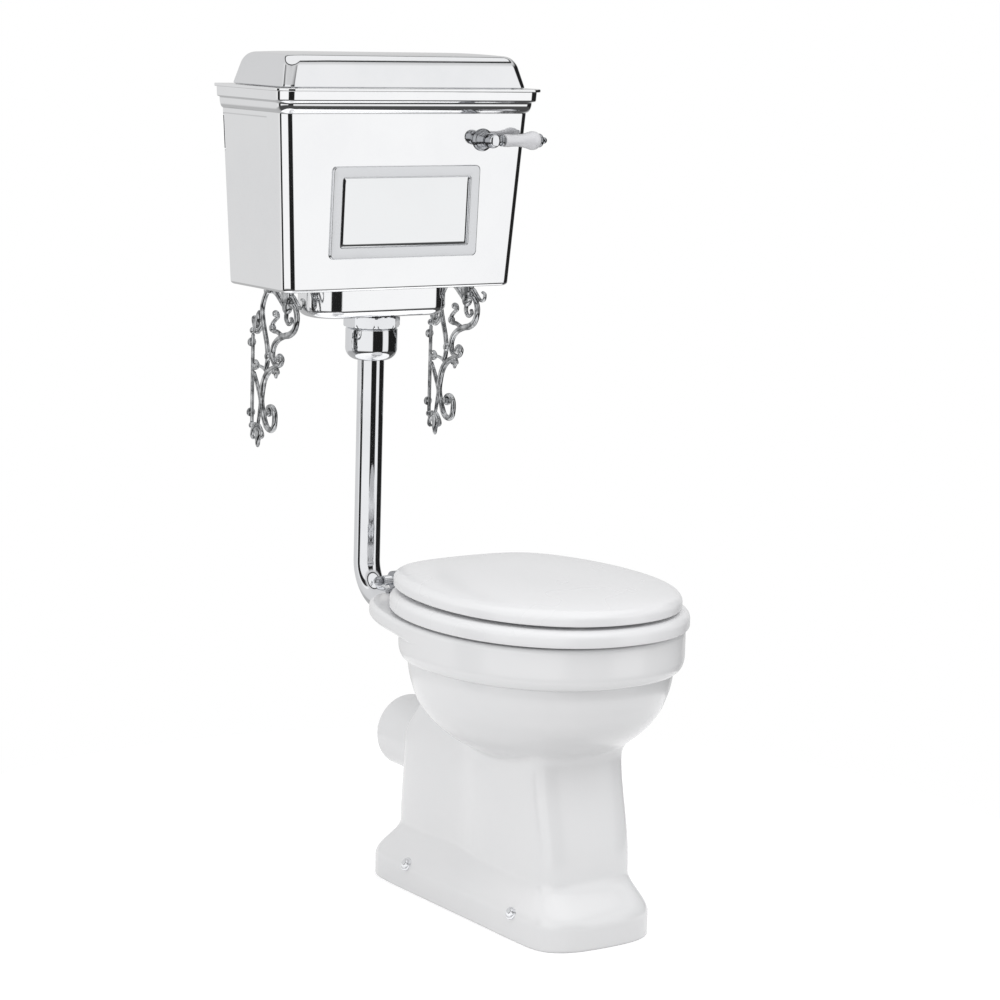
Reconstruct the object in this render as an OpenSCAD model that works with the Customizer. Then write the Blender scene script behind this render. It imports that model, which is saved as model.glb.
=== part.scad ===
/* [Pan] */
// Height of the rim above the floor
pan_h = 405; // [395:1:415]
// Width of the rim
pan_w = 364; // [352:1:376]
// Distance from the wall to the widest part of the rim
pan_mid = 500; // [496:1:508]
// Length of the rim in front of its widest part
pan_nose = 220; // [212:1:228]
// Length of the rounded rim behind its widest part
pan_tail = 175; // [168:1:182]
// Depth of the band round the rim
band_h = 50; // [46:1:56]
// Thickness of the deck behind the bowl
deck_t = 21; // [18:1:30]
// Depth of the rounded outside of the bowl
bowl_h = 142; // [138:1:150]
// Thickness of the china round the bowl
china_t = 13; // [11:0.5:14]
// Thickness of the china in the column
column_t = 11; // [9:0.5:13]
// Width of the column
column_w = 146; // [138:1:152]
// Width of the foot
foot_w = 178; // [172:1:184]
// Height of the straight plinth of the foot
plinth_h = 33; // [28:1:38]
// Outside diameter of the soil outlet
outlet_d = 102; // [98:1:104]
// Height of the soil outlet's centre
outlet_z = 185; // [182:1:188]
// Distance from the wall to the end of the soil outlet
outlet_gap = 196; // [190:1:210]
// Bore of the trap
trap_d = 76; // [72:1:78]
// Outside diameter of the flushing horn
horn_d = 56; // [54:1:60]

/* [Seat] */
// How far the seat stands out over the rim at the sides
seat_over = 1; // [0:1:4]
// Thickness of the seat
seat_t = 22; // [18:1:24]
// Half the width of the hole in the seat
seat_hole = 112; // [106:1:118]
// Height of the buffers under the seat and under its lid
buffer_h = 4; // [3.5:0.5:5]
// How far the lid lies inside the seat at the sides
lid_inset = 11; // [7:1:13]
// Thickness of the lid at its crown
lid_t = 23; // [20:1:26]

/* [Seat hinge] */
// Distance from the wall to the hinge rod
hinge_y = 280; // [276:1:284]
// Height of the hinge rod above the deck
hinge_up = 18; // [17:0.5:20]
// Diameter of the hinge rod
rod_d = 14; // [12:0.5:15]
// Distance between the two pillars
pillar_span = 155; // [150:1:160]
// Thickness of the strap leaves
leaf_t = 2.5; // [2:0.25:2.5]

/* [Cistern] */
// Height of the cistern's floor above the ground
tank_z = 806; // [790:1:820]
// Height of the cistern from its floor to its rim
tank_h = 279; // [265:1:300]
// Width over the rim
rim_w = 432; // [424:1:440]
// Depth over the rim
rim_d = 188; // [184:1:196]
// Width of the body under the cornice
body_top_w = 404; // [400:1:408]
// Depth of the body under the cornice
body_top_d = 168; // [166:1:172]
// Width of the body at its floor
body_low_w = 372; // [366:1:380]
// Depth of the body at its floor
body_low_d = 156; // [153:1:160]
// Height of the cornice
cornice_h = 36; // [32:1:40]
// Thickness of the cistern's metal
metal_t = 2.5; // [2:0.25:3]
// Width of the well under the floor
well_w = 224; // [218:1:230]
// Depth of the well from front to back
well_d = 90; // [88:1:94]
// Height of the well
well_h = 38; // [34:1:42]
// Distance from the wall to the flush outlet
outlet_y = 80; // [78:1:82]

/* [Cistern lid] */
// Height of the lid above the rim
cap_h = 46.5; // [42:0.5:50]
// How far the lid lies inside the rim at the sides
cap_inset = 18; // [16:1:24]

/* [Name plate] */
// Width of the plate
plate_w = 241; // [220:1:260]
// Height of the plate
plate_h = 128; // [116:1:140]
// Width of its raised border
plate_border = 16; // [12:1:20]

/* [Flush lever] */
// Distance of the lever from the middle
lever_x = 123; // [120:1:126]
// Height of the lever above the cistern's floor
lever_up = 208; // [204:1:212]
// Diameter of the spindle
spindle_d = 12; // [10:0.5:13]
// Length of the handle's china grip
grip_len = 59; // [50:1:62]
// Length of the arm inside the cistern
lift_len = 51; // [50:0.5:52]

/* [Siphon] */
// Distance between the two legs
leg_gap = 75; // [73:1:76]
// Outside diameter of the legs
leg_d = 44; // [40:1:46]
// Outside diameter of the chamber
chamber_d = 84; // [80:1:86]

/* [Float valve] */
// Diameter of the float
float_d = 92; // [84:1:94]
// Length from the pivot to the middle of the float
float_len = 262; // [254:1:266]
// Diameter of the valve's piston
valve_d = 16.5; // [15:0.5:17]

/* [Flush pipe] */
// Outside diameter of the flush pipe
pipe_d = 38; // [36:0.5:40]
// Radius of its elbow
elbow_r = 50; // [46:1:56]

/* [Brackets] */
// Distance between the two brackets
bracket_span = 300; // [290:1:310]
// Thickness of the bracket's bars
bracket_t = 8; // [7:0.5:10]

/* [Hidden] */

// Clearances
run_gap = 0.05;
free_gap = 0.3;
thread_gap = 0.1;

// Everything is set out from the wall, with the wall at y = 0 and the front at negative y.
// This moves it so that the part's origin is under its middle, on the floor.
seat_mid = pan_mid + 7;
seat_nose = pan_nose + 1;
reach = seat_mid + seat_nose;
module from_wall() {
  translate([0, reach / 2, 0]) children();
}

// Curves and surfaces
function ramp(low, high, x) =
  let(t = min(1, max(0, (x - low) / (high - low)))) t * t * (3 - 2 * t);
function blend_max(a, b, width) = (a + b + sqrt((a - b) * (a - b) + width * width)) / 2;
function spline_at(p, k, t) =
  let(n = len(p) - 1, a = p[max(0, k - 1)], b = p[k], c = p[min(n, k + 1)], d = p[min(n, k + 2)])
  (2 * b + (c - a) * t + (2 * a - 5 * b + 4 * c - d) * t * t
    + (3 * b - a - 3 * c + d) * t * t * t) / 2;
function spline(p, steps) = [
  for (k = [0:len(p) - 2], s = [0:steps - 1]) spline_at(p, k, s / steps),
  p[len(p) - 1]];
function along(p, k) =
  let(d = p[min(len(p) - 1, k + 1)] - p[max(0, k - 1)]) d / norm(d);

// A skin through rings of points that run anticlockwise seen from above.
// Open rings are closed by their first and last ring, and a looped skin closes on itself.
module loft(rings, looped = false) {
  n = len(rings[0]);
  m = len(rings);
  last = looped ? m - 1 : m - 2;
  polyhedron(
    [for (r = rings) each r],
    concat(
      looped ? [] : [[for (i = [0:n - 1]) i], [for (i = [n - 1:-1:0]) (m - 1) * n + i]],
      [for (k = [0:last], i = [0:n - 1])
        let(j = (i + 1) % n, up = ((k + 1) % m) * n)
        each [[k * n + i, up + i, up + j], [k * n + i, up + j, k * n + j]]]));
}
// A tube along a path in the plane x = 0, drawn with flat sides.
module tube(path, r, sides) {
  m = len(path);
  loft([for (k = [m - 1:-1:0])
    let(d = along(path, k))
    [for (i = [0:sides - 1])
      let(t = 360 * i / sides)
      [r * cos(t), path[k][0] - r * sin(t) * d[1], path[k][1] + r * sin(t) * d[0]]]]);
}
// A rounded rectangle seen from above, with its front and back as distances from the wall.
function box_ring(z, half, front, back, front_r, back_r) = [
  for (c = [[half - front_r, front_r - front, front_r, -90, 6],
            [half - back_r, -back - back_r, back_r, 0, 3],
            [back_r - half, -back - back_r, back_r, 90, 3],
            [front_r - half, front_r - front, front_r, 180, 6]],
       s = [0:c[4]])
  [c[0] + c[2] * cos(c[3] + 90 * s / c[4]), c[1] + c[2] * sin(c[3] + 90 * s / c[4]), z]];
module slab(ring, h) {
  translate([0, 0, ring[0][2]])
    linear_extrude(h)
      polygon([for (p = ring) [p[0], p[1]]]);
}
module rod_z(x, y, z0, z1, r) {
  translate([x, y, z0]) cylinder(h = z1 - z0, r = r, $fn = 64);
}
module rod_y(x, y0, y1, z, r) {
  translate([x, y0, z]) rotate([-90, 0, 0]) cylinder(h = y1 - y0, r = r, $fn = 64);
}
module rod_x(x0, x1, y, z, r) {
  translate([x0, y, z]) rotate([0, 90, 0]) cylinder(h = x1 - x0, r = r, $fn = 64);
}
module nut_z(x, y, z0, z1, flats, sides) {
  translate([x, y, z0])
    rotate(90 - 180 / sides)
      cylinder(h = z1 - z0, r = flats / 2 / cos(180 / sides), $fn = sides);
}
module both_sides() {
  children();
  mirror([1, 0, 0]) children();
}

// Pan: plan outlines are radii in the direction u from the middle of the rim
ring_n = 48;
rim_a = pan_w / 2;
belly_inset = 13;
band_z = pan_h - band_h - 5;
deck_back = pan_mid - 262;
deck_long = 300;
mouth_a = rim_a - 50;
mouth_nose = pan_nose - 47;
mouth_tail = pan_tail - 45;
mouth_depth = 26;
flare_h = 50;
outlet_in = 285;
outlet_root = pan_mid - 244;
root_len = 50;
root_grow = 21;
hinge_hole_d = 16;
screw_hole_d = 7;
screw_tilt = 35;
screw_x = foot_w / 2 - 4;
screw_z = plinth_h + 1;
screw_ys = [342, 595];
inlet_z = pan_h - 44;
horn_in = pan_mid - 145;
horn_gap = 238;
horn_bore = pipe_d + 6;
horn_depth = 52;
jet_d = 34;
jet_in = horn_in + 35;

function heading(i) =
  let(t = 360 * i / ring_n, v = [0.66 * sin(t), -cos(t)]) v / norm(v);
function egg(u, side, nose, tail, back, crisp) =
  let(e = norm([u[0] / side, u[1] / (u[1] < 0 ? nose : tail)]), p = max(0, u[1]) / back)
  pow(pow(e, crisp) + pow(p, crisp), -1 / crisp);
function prism(u, side, front, back, front_cut, back_cut) =
  let(q = 14, x = abs(u[0]),
      front_d = (side - front_cut + front) / sqrt(2),
      back_d = (side - back_cut + back) / sqrt(2))
  pow(pow(x / side, q) + pow(max(0, -u[1]) / front, q) + pow(max(0, u[1]) / back, q)
    + pow(max(0, x - u[1]) / sqrt(2) / front_d, q)
    + pow(max(0, x + u[1]) / sqrt(2) / back_d, q), -1 / q);
function bowl_share(z, h) = z >= band_z ? 1 : sqrt(max(0, 1 - pow((band_z - z) / h, 2)));
function column_r(u, z, inset) =
  let(foot = 1 - ramp(plinth_h - 3, plinth_h + flare_h, z),
      side = column_w / 2 + (foot_w - column_w) / 2 * foot - inset,
      rear = column_w / 2 - 5 + ((foot_w - column_w) / 2 + 5) * foot - inset,
      width = side + (rear - side) * ramp(0.35, 0.8, u[1]),
      waist = 1 - 0.13 * (1 - foot) * exp(-pow((u[1] - 0.55) / 0.25, 2)),
      front = pan_nose - 70 - 24 * ramp(95, 240, z) + 42 * foot - inset,
      back = deck_back - 6 - 60 * ramp(200, 285, z) + 38 * foot - inset)
  waist * prism(u, width, front, back, 13 + 16 * foot, 10);
function belly_r(u, z) =
  let(s = bowl_share(z, bowl_h) * (rim_a - belly_inset) / rim_a)
  s > 0.02 ? egg(u, rim_a * s, pan_nose * s, pan_tail * s, 1000, 2) : 0;
function outside_r(u, z) =
  z > band_z - 45 ? belly_r(u, z) : blend_max(belly_r(u, z), column_r(u, z, 0), 8);
function ring(z, f) = [
  for (i = [0:ring_n - 1]) let(u = heading(i), r = f(u)) [r * u[0], r * u[1] - pan_mid, z]];
function band_ring(z, inset) = ring(z, function(u)
  egg(u, rim_a - inset, pan_nose - inset, pan_tail - inset, 1000, 2));
function deck_ring(z, inset, tuck) = ring(z, function(u)
  let(g = inset + tuck * ramp(-0.2, 0.3, u[1]))
  egg(u, rim_a - g, pan_nose - g, deck_long - g, deck_back - g, 12));
function mouth_ring(z, grow) = ring(z, function(u)
  egg(u, mouth_a + grow, mouth_nose + grow, mouth_tail + grow, 1000, 2));
function bowl_ring(z) =
  let(s = bowl_share(z, bowl_h - china_t - 1), k = (rim_a - belly_inset) / rim_a)
  ring(z, function(u)
    egg(u, (rim_a * k - china_t) * s, (pan_nose * k - china_t) * s, (pan_tail * k - china_t) * s, 1000, 2));

module pan_mass() {
  cavity_top = 178;
  outer_z = [6, 30, plinth_h + 3, 44, 52, 60, 68, 77, 86, 96, 130, 165,
    195, 208, 218, 227, 235, 244, 256, 272, 292, 315, 335, band_z];
  loft(concat(
    [for (z = [cavity_top, 165, 120, 60, 0])
      ring(z, function(u) column_r(u, max(z, 96), column_t))],
    [ring(0, function(u) outside_r(u, 0) - 3)],
    [for (z = outer_z) ring(z, function(u) outside_r(u, z))],
    [band_ring(band_z + 1, 9.5), band_ring(band_z + 5, 4.5), band_ring(band_z + 10, 1.5),
      band_ring(band_z + 17, 0.3)],
    [band_ring(pan_h - deck_t - 0.2, 0)],
    [deck_ring(pan_h - deck_t, 0, 7), deck_ring(pan_h - deck_t + 2, 0, 2.5),
      deck_ring(pan_h - deck_t + 7, 0, 0), deck_ring(pan_h - 6, 0, 0),
      deck_ring(pan_h - 1.5, 2, 0), deck_ring(pan_h, 6, 0)],
    [mouth_ring(pan_h, 5), mouth_ring(pan_h - 4, 0), mouth_ring(pan_h - mouth_depth, -2),
      mouth_ring(pan_h - mouth_depth, 5), mouth_ring(pan_h - 14, 8), mouth_ring(pan_h - 14, 18)],
    [bowl_ring(band_z + 8)],
    [for (share = [0.088, 0.272, 0.478, 0.654, 0.787, 0.875, 0.934, 0.963])
      bowl_ring(band_z - share * (bowl_h - china_t - 1))]));
}

// The trap: down from the bowl, up over the weir and down to the outlet
trap_bend = 48;
trap_drop = 60;
trap_fall = 50;
crest_z = outlet_z + 2 * trap_drop * (1 - cos(trap_fall));
trap_in = 17 - pan_mid;
trap_path = concat(
  [[trap_in, 232], [trap_in, 190]],
  [for (a = [0:20:180]) [trap_in + trap_bend * (1 - cos(a)), 150 - trap_bend * sin(a)]],
  [for (a = [0:18:90])
    [trap_in + trap_bend * (3 - cos(a)), crest_z - trap_bend * (1 - sin(a))]],
  [for (a = [10:10:trap_fall])
    [trap_in + 3 * trap_bend + trap_drop * sin(a), crest_z - trap_drop * (1 - cos(a))]],
  [for (a = [trap_fall - 10:-10:0])
    [trap_in + 3 * trap_bend + trap_drop * (2 * sin(trap_fall) - sin(a)),
      outlet_z + trap_drop * (1 - cos(a))]],
  [[-outlet_gap - 26, outlet_z]]);

module at_floor_screws() {
  both_sides()
    for (y = screw_ys)
      translate([screw_x, -y, screw_z]) rotate([0, screw_tilt, 0]) children();
}
module pan() {
  color("white")
    from_wall()
      difference() {
        union() {
          difference() {
            union() {
              pan_mass();
              tube([for (k = [1:len(trap_path) - 1]) trap_path[k]], trap_d / 2 + 8, 16);
            }
            tube(trap_path, trap_d / 2, 16);
          }
          rod_y(0, -outlet_in, -outlet_gap, outlet_z, outlet_d / 2);
          translate([0, -outlet_root - root_len, outlet_z])
            rotate([-90, 0, 0])
              cylinder(h = root_len, r1 = outlet_d / 2 + root_grow, r2 = outlet_d / 2, $fn = 64);
          rod_y(0, -horn_in, -horn_gap, inlet_z, horn_d / 2);
        }
        rod_y(0, -outlet_gap - 64, -outlet_gap + 6, outlet_z, outlet_d / 2 - 7);
        rod_y(0, -horn_gap - horn_depth, -horn_gap + 8, inlet_z, horn_bore / 2);
        rod_y(0, -jet_in, -horn_gap - horn_depth + 10, inlet_z, jet_d / 2);
        both_sides() {
          rod_z(pillar_span / 2, -hinge_y, pan_h - deck_t - 5, pan_h + 5, hinge_hole_d / 2);
          rod_z(pillar_span / 2, -hinge_y, pan_h - deck_t - 6, pan_h - deck_t, 14);
        }
        at_floor_screws() {
          translate([0, 0, -60]) cylinder(h = 100, r = screw_hole_d / 2, $fn = 64);
          cylinder(h = 40, r = 9.5, $fn = 64);
        }
      }
}
module floor_screws() {
  head_t = 3;
  color("silver")
    from_wall()
      at_floor_screws() {
        cylinder(h = head_t, r = 6, $fn = 64);
        translate([0, 0, -36]) cylinder(h = 36, r = 2.9, $fn = 64);
      }
}
module floor_screw_caps() {
  color("silver")
    from_wall()
      at_floor_screws()
        rotate_extrude($fn = 64)
          polygon(concat([[6.2, 0], [7.5, 0], [7.5, 2]],
            [for (a = [0:15:75]) [7.5 * cos(a), 2 + 5 * sin(a)]], [[0, 7], [0, 3.2], [6.2, 3.2]]));
}

// Seat and lid
seat_z = pan_h + buffer_h;
seat_top = seat_z + seat_t;
lid_z = seat_top + buffer_h;
seat_a = rim_a + seat_over;
seat_back = seat_mid - hinge_y - 22;
lid_a = seat_a - lid_inset;
function seat_out(z, inset) = ring_at(seat_mid, z, function(u)
  egg(u, seat_a - inset, seat_nose - inset, seat_nose + 13 - inset, seat_back - inset, 10));
function seat_in(z, grow) = ring_at(seat_mid, z, function(u)
  egg(u, seat_hole + grow, seat_hole + 38 + grow, seat_hole + 10 + grow, 1000, 2));
function lid_out(z, inset) = ring_at(seat_mid, z, function(u)
  egg(u, lid_a - inset, seat_nose - 7 - inset, seat_nose + 6 - inset, seat_back - inset, 10));
function ring_at(mid, z, f) = [
  for (i = [0:ring_n - 1]) let(u = heading(i), r = f(u)) [r * u[0], r * u[1] - mid, z]];

// Buffers are placed by the angle from the front, on a line along the middle of the seat
function pad_spot(turn) =
  [(seat_hole + seat_a) / 2 * sin(turn), -seat_mid - (seat_hole + 38 + seat_nose) / 2 * cos(turn)];
seat_pads = [35, 98];
lid_pads = [22, 98];
module pads(turns, z, h) {
  both_sides()
    for (a = turns)
      rod_z(pad_spot(a)[0], pad_spot(a)[1], z, z + h, 8);
}
strap_offset = 27.5;
strap_pitch = 20;
seat_strap_x = pillar_span / 2 - strap_offset;
lid_strap_x = seat_strap_x - strap_pitch;
strap_w = 16;
knuckle_d = 22;
hinge_z = pan_h + hinge_up;
strap_screw_ys = [hinge_y + 40, hinge_y + 58];
strap_screw_d = 4;
strap_screw_len = 12;
module strap_screw_holes(x, z) {
  both_sides()
    for (y = strap_screw_ys)
      rod_z(x, -y, z - 1, z + strap_screw_len + 0.5, strap_screw_d / 2 + thread_gap);
}
module seat_ring() {
  color("white")
    from_wall()
      difference() {
        loft([
          seat_in(seat_z, 3), seat_out(seat_z, 5), seat_out(seat_z + 3, 1), seat_out(seat_z + 7, 0),
          seat_out(seat_top - 8, 0), seat_out(seat_top - 3.5, 1.5), seat_out(seat_top, 6),
          seat_in(seat_top, 8), seat_in(seat_top - 3.5, 1.5), seat_in(seat_top - 9, 0),
          seat_in(seat_z + 4, 0.5)], looped = true);
        strap_screw_holes(seat_strap_x, seat_z);
      }
}
module seat_buffers() {
  color("ivory")
    from_wall()
      pads(seat_pads, pan_h + free_gap, buffer_h - free_gap);
}
module strap(x, leaf_z, web_z0, web_z1) {
  difference() {
    union() {
      rod_x(x - strap_w / 2, x + strap_w / 2, -hinge_y, hinge_z, knuckle_d / 2);
      translate([x - strap_w / 2, -hinge_y - 70, leaf_z]) cube([strap_w, 66, leaf_t]);
      translate([x - strap_w / 2, -hinge_y - 11, web_z0]) cube([strap_w, 7, web_z1 - web_z0]);
    }
    rod_x(x - strap_w, x + strap_w, -hinge_y, hinge_z, rod_d / 2 + run_gap);
    for (y = strap_screw_ys)
      rod_z(x, -y, leaf_z - 1, leaf_z + leaf_t + 1, strap_screw_d / 2 + thread_gap);
  }
}
module seat_straps() {
  color("silver")
    from_wall()
      both_sides()
        strap(seat_strap_x, seat_z - leaf_t, seat_z - leaf_t, hinge_z - 4);
}
module strap_screws(x, leaf_z, head_t) {
  both_sides()
    for (y = strap_screw_ys) {
      rod_z(x, -y, leaf_z - head_t, leaf_z, 3.6);
      rod_z(x, -y, leaf_z, leaf_z + leaf_t + strap_screw_len, strap_screw_d / 2);
    }
}
strap_head_t = buffer_h - leaf_t - 0.5;
module seat_screws() {
  color("silver")
    from_wall()
      strap_screws(seat_strap_x, seat_z - leaf_t, strap_head_t);
}
module seat_lid() {
  steps = [[4, 0], [1, 1.5], [0, 4], [0, lid_t - 13], [1.5, lid_t - 9], [5, lid_t - 6],
    [14, lid_t - 3.5], [40, lid_t - 1.2], [90, lid_t]];
  color("white")
    from_wall()
      difference() {
        loft([for (s = steps) lid_out(lid_z + s[1], s[0])]);
        strap_screw_holes(lid_strap_x, lid_z);
      }
}
module lid_buffers() {
  color("ivory")
    from_wall()
      pads(lid_pads, seat_top + free_gap, buffer_h - free_gap);
}
module lid_straps() {
  color("silver")
    from_wall()
      both_sides()
        strap(lid_strap_x, lid_z - leaf_t, hinge_z + 4, lid_z);
}
module lid_screws() {
  color("silver")
    from_wall()
      strap_screws(lid_strap_x, lid_z - leaf_t, strap_head_t);
}

// Hinge
pillar_w = 16;
pillar_base_h = 4;
stud_d = 12;
finial_x = pillar_span / 2 + 26.5;
module hinge_pillars() {
  color("silver")
    from_wall()
      both_sides()
        translate([pillar_span / 2, -hinge_y, 0])
          difference() {
            union() {
              translate([0, 0, pan_h])
                rotate_extrude($fn = 64)
                  polygon([[0, 0], [15, 0], [15, 2.5], [13.5, pillar_base_h], [9, pillar_base_h + 1.5],
                    [7.5, 8], [7.5, hinge_up], [0, hinge_up]]);
              translate([0, 0, pan_h - deck_t - 14]) cylinder(h = deck_t + 14, r = stud_d / 2, $fn = 64);
              rod_x(-pillar_w / 2, pillar_w / 2, 0, hinge_z, 12);
            }
            rod_x(-pillar_w, pillar_w, 0, hinge_z, rod_d / 2 + run_gap);
          }
}
module hinge_rod() {
  color("silver")
    from_wall()
      rod_x(-finial_x + 5, finial_x - 5, -hinge_y, hinge_z, rod_d / 2);
}
module hinge_finials() {
  color("silver")
    from_wall()
      both_sides()
        translate([finial_x - 5, -hinge_y, hinge_z])
          rotate([0, 90, 0])
            rotate_extrude($fn = 64)
              polygon(concat([[0, 0], [6.2, 0], [6.2, 1.2], [4.6, 2.2]],
                [for (a = [-45:15:75]) [6.8 * cos(a), 7 + 6.8 * sin(a)]], [[0, 13.8]]));
}
module hinge_washers() {
  color("dimgray")
    from_wall()
      both_sides()
        difference() {
          rod_z(pillar_span / 2, -hinge_y, pan_h - deck_t - 3, pan_h - deck_t, 13);
          rod_z(pillar_span / 2, -hinge_y, pan_h - deck_t - 4, pan_h - deck_t + 1, stud_d / 2 + thread_gap);
        }
}
module hinge_nuts() {
  color("silver")
    from_wall()
      both_sides()
        difference() {
          nut_z(pillar_span / 2, -hinge_y, pan_h - deck_t - 11, pan_h - deck_t - 3, 19, 6);
          rod_z(pillar_span / 2, -hinge_y, pan_h - deck_t - 12, pan_h - deck_t - 2, stud_d / 2 + thread_gap);
        }
}

// Cistern: the body tapers in towards its floor, and the cornice steps out to the rim
tank_top = tank_z + tank_h;
body_h = tank_h - cornice_h;
rim_r = 22;
body_r = 15;
back_r = 4;
lip_t = 4;
side_tilt = atan((body_top_w - body_low_w) / 2 / body_h);
front_tilt = atan((body_top_d - body_low_d) / body_h);
function side_at(z) = body_low_w / 2 + (z - tank_z) * tan(side_tilt);
function front_at(z) = body_low_d + (z - tank_z) * tan(front_tilt);
function body_ring(z, inset, edge) = box_ring(
  z, side_at(z) - inset - edge, front_at(z) - inset - edge, inset + edge, body_r - inset, back_r - inset);
// Each step of the cornice is its share of the overhang and its share of the height, down from the rim
cornice = [[0.07, 0], [0, 0.033], [0, 0.11], [0.24, 0.12], [0.28, 0.39], [0.31, 0.47], [0.59, 0.52],
  [0.76, 0.7], [0.93, 0.86], [1, 1]];
hollow = [[1, 1], [0.93, 0.86], [0.76, 0.7], [0.59, 0.52], [0.59, 0.45], [0.31, 0.4], [0.28, 0.11]];
function cornice_ring(step, inset) = box_ring(
  tank_top - cornice_h * step[1],
  rim_w / 2 - step[0] * (rim_w - body_top_w) / 2 - inset,
  rim_d - step[0] * (rim_d - body_top_d) - inset,
  inset,
  rim_r - step[0] * (rim_r - body_r) - inset,
  back_r - inset);
mouth_side = rim_w / 2 - 29;
mouth_front = rim_d - 26;
mouth_back = 26;
well_r = 25;
well_front = outlet_y + well_d / 2;
well_back = outlet_y - well_d / 2;
well_z = tank_z - well_h;
well_floor_t = 3;
function well_ring(z, inset) = box_ring(
  z, well_w / 2 - inset, well_front - inset, well_back + inset, well_r - inset / 2, well_r - inset / 2);
tail_d = 47.8;
lever_z = tank_z + lever_up;
lever_hole_d = 22.6;
inlet_y = 52;
valve_z = lever_z + 1;
inlet_d = 20.8;
panel_front = 127;
panel_h = 59;
panel_t = 1.2;
fixing_x = 130;
fixing_z = tank_top - 45;
fixing_d = 7;

module side_panels() {
  corner = 10;
  both_sides()
    translate([side_at(tank_z + body_h - panel_h), 0, tank_z + body_h - panel_h])
      rotate([0, side_tilt, 0])
        translate([-panel_t, 0, 0])
          rotate([90, 0, 90])
            linear_extrude(5)
              polygon(concat([[1, panel_h - 2], [-panel_front, panel_h - 2]],
                [for (a = [180:15:270])
                  [corner - panel_front + corner * cos(a), corner + corner * sin(a)]], [[1, 0]]));
}
module tank_shell() {
  color("gainsboro")
    from_wall()
      difference() {
        union() {
          loft(concat(
            [body_ring(tank_z, 0, 4.5), body_ring(tank_z + 1.3, 0, 1.4), body_ring(tank_z + 4.5, 0, 0)],
            [for (k = [len(cornice) - 1:-1:0]) cornice_ring(cornice[k], 0)]));
          loft([well_ring(well_z, 10), well_ring(well_z + 2.5, 4), well_ring(well_z + 6, 1),
            well_ring(well_z + 10, 0), well_ring(tank_z + 1, 0)]);
        }
        loft(concat(
          [body_ring(tank_z + metal_t, metal_t, 4), body_ring(tank_z + metal_t + 3, metal_t, 0)],
          [for (h = hollow) cornice_ring(h, metal_t)]));
        loft([well_ring(well_z + well_floor_t, 10), well_ring(well_z + 6, 5),
          well_ring(well_z + 10, metal_t), well_ring(tank_z + metal_t + 1, metal_t)]);
        slab(box_ring(tank_top - 8, mouth_side, mouth_front, mouth_back, 12, 12), 10);
        rod_z(0, -outlet_y, well_z - 1, well_z + 5, tail_d / 2 + free_gap);
        rod_y(lever_x, -front_at(lever_z) - 10, -front_at(lever_z) + 10, lever_z, lever_hole_d / 2);
        rod_x(side_at(valve_z) - 10, side_at(valve_z) + 10, -inlet_y, valve_z, shank_r + free_gap);
        both_sides()
          rod_y(fixing_x, -metal_t - 3, 3, fixing_z, fixing_d / 2);
        side_panels();
      }
}

// Cistern lid: a hollow pressing with a skirt that drops into the mouth
cap_z = tank_top + free_gap;
cap_side = rim_w / 2 - cap_inset;
cap_front = rim_d - 20;
cap_back = 14;
function cap_ring(inset, up) = box_ring(
  cap_z + up, cap_side - inset, cap_front - inset, cap_back + inset, 14 + inset * 0.3, 14 + inset * 0.3);
cap_steps = [[1, 0], [0, 1.2], [0, 3], [6, 0.62 * cap_h], [8, 0.76 * cap_h], [11, 0.86 * cap_h],
  [15, 0.93 * cap_h], [23, 0.965 * cap_h], [55, cap_h]];
skirt_depth = 12;
module tank_lid() {
  skirt_side = mouth_side - 3;
  skirt_front = mouth_front - 3;
  skirt_back = mouth_back + 3;
  color("gainsboro")
    from_wall()
      difference() {
        union() {
          loft([for (s = cap_steps) cap_ring(s[0], s[1])]);
          slab(box_ring(cap_z - skirt_depth, skirt_side, skirt_front, skirt_back, 10, 10), skirt_depth + 2);
        }
        loft([for (k = [2:len(cap_steps) - 1])
          cap_ring(cap_steps[k][0] + metal_t, cap_steps[k][1] - (k > 2 ? metal_t : 0))]);
        slab(box_ring(cap_z - skirt_depth - 1, skirt_side - metal_t, skirt_front - metal_t,
          skirt_back + metal_t, 8, 8), skirt_depth + 5);
      }
}

// Name plate on the front, left bare
plate_up = 109;
plate_t = 4;
field_t = 1.5;
module on_front(x, z) {
  translate([x, -front_at(z), z]) rotate([90 + front_tilt, 0, 0]) children();
}
plate_round = 7;
field_round = 4;
field_gap = 0.1;
module oblong(inset, corner) {
  spot = [plate_w / 2 - inset - corner, plate_h / 2 - inset - corner];
  polygon([for (k = [0:3], a = [0:15:90])
    let(s = [[1, 1], [-1, 1], [-1, -1], [1, -1]][k], t = 90 * k + a)
    [s[0] * spot[0] + corner * cos(t), s[1] * spot[1] + corner * sin(t)]]);
}
module name_plate_frame() {
  color("silver")
    from_wall()
      on_front(0, tank_z + plate_up)
        difference() {
          union() {
            linear_extrude(plate_t - 1) oblong(0, plate_round);
            linear_extrude(plate_t) oblong(1.5, plate_round - 1);
          }
          translate([0, 0, -1]) linear_extrude(plate_t + 2) oblong(plate_border, field_round);
        }
}
module name_plate_field() {
  color("whitesmoke")
    from_wall()
      on_front(0, tank_z + plate_up)
        linear_extrude(field_t) oblong(plate_border + field_gap, field_round - field_gap);
}

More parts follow.
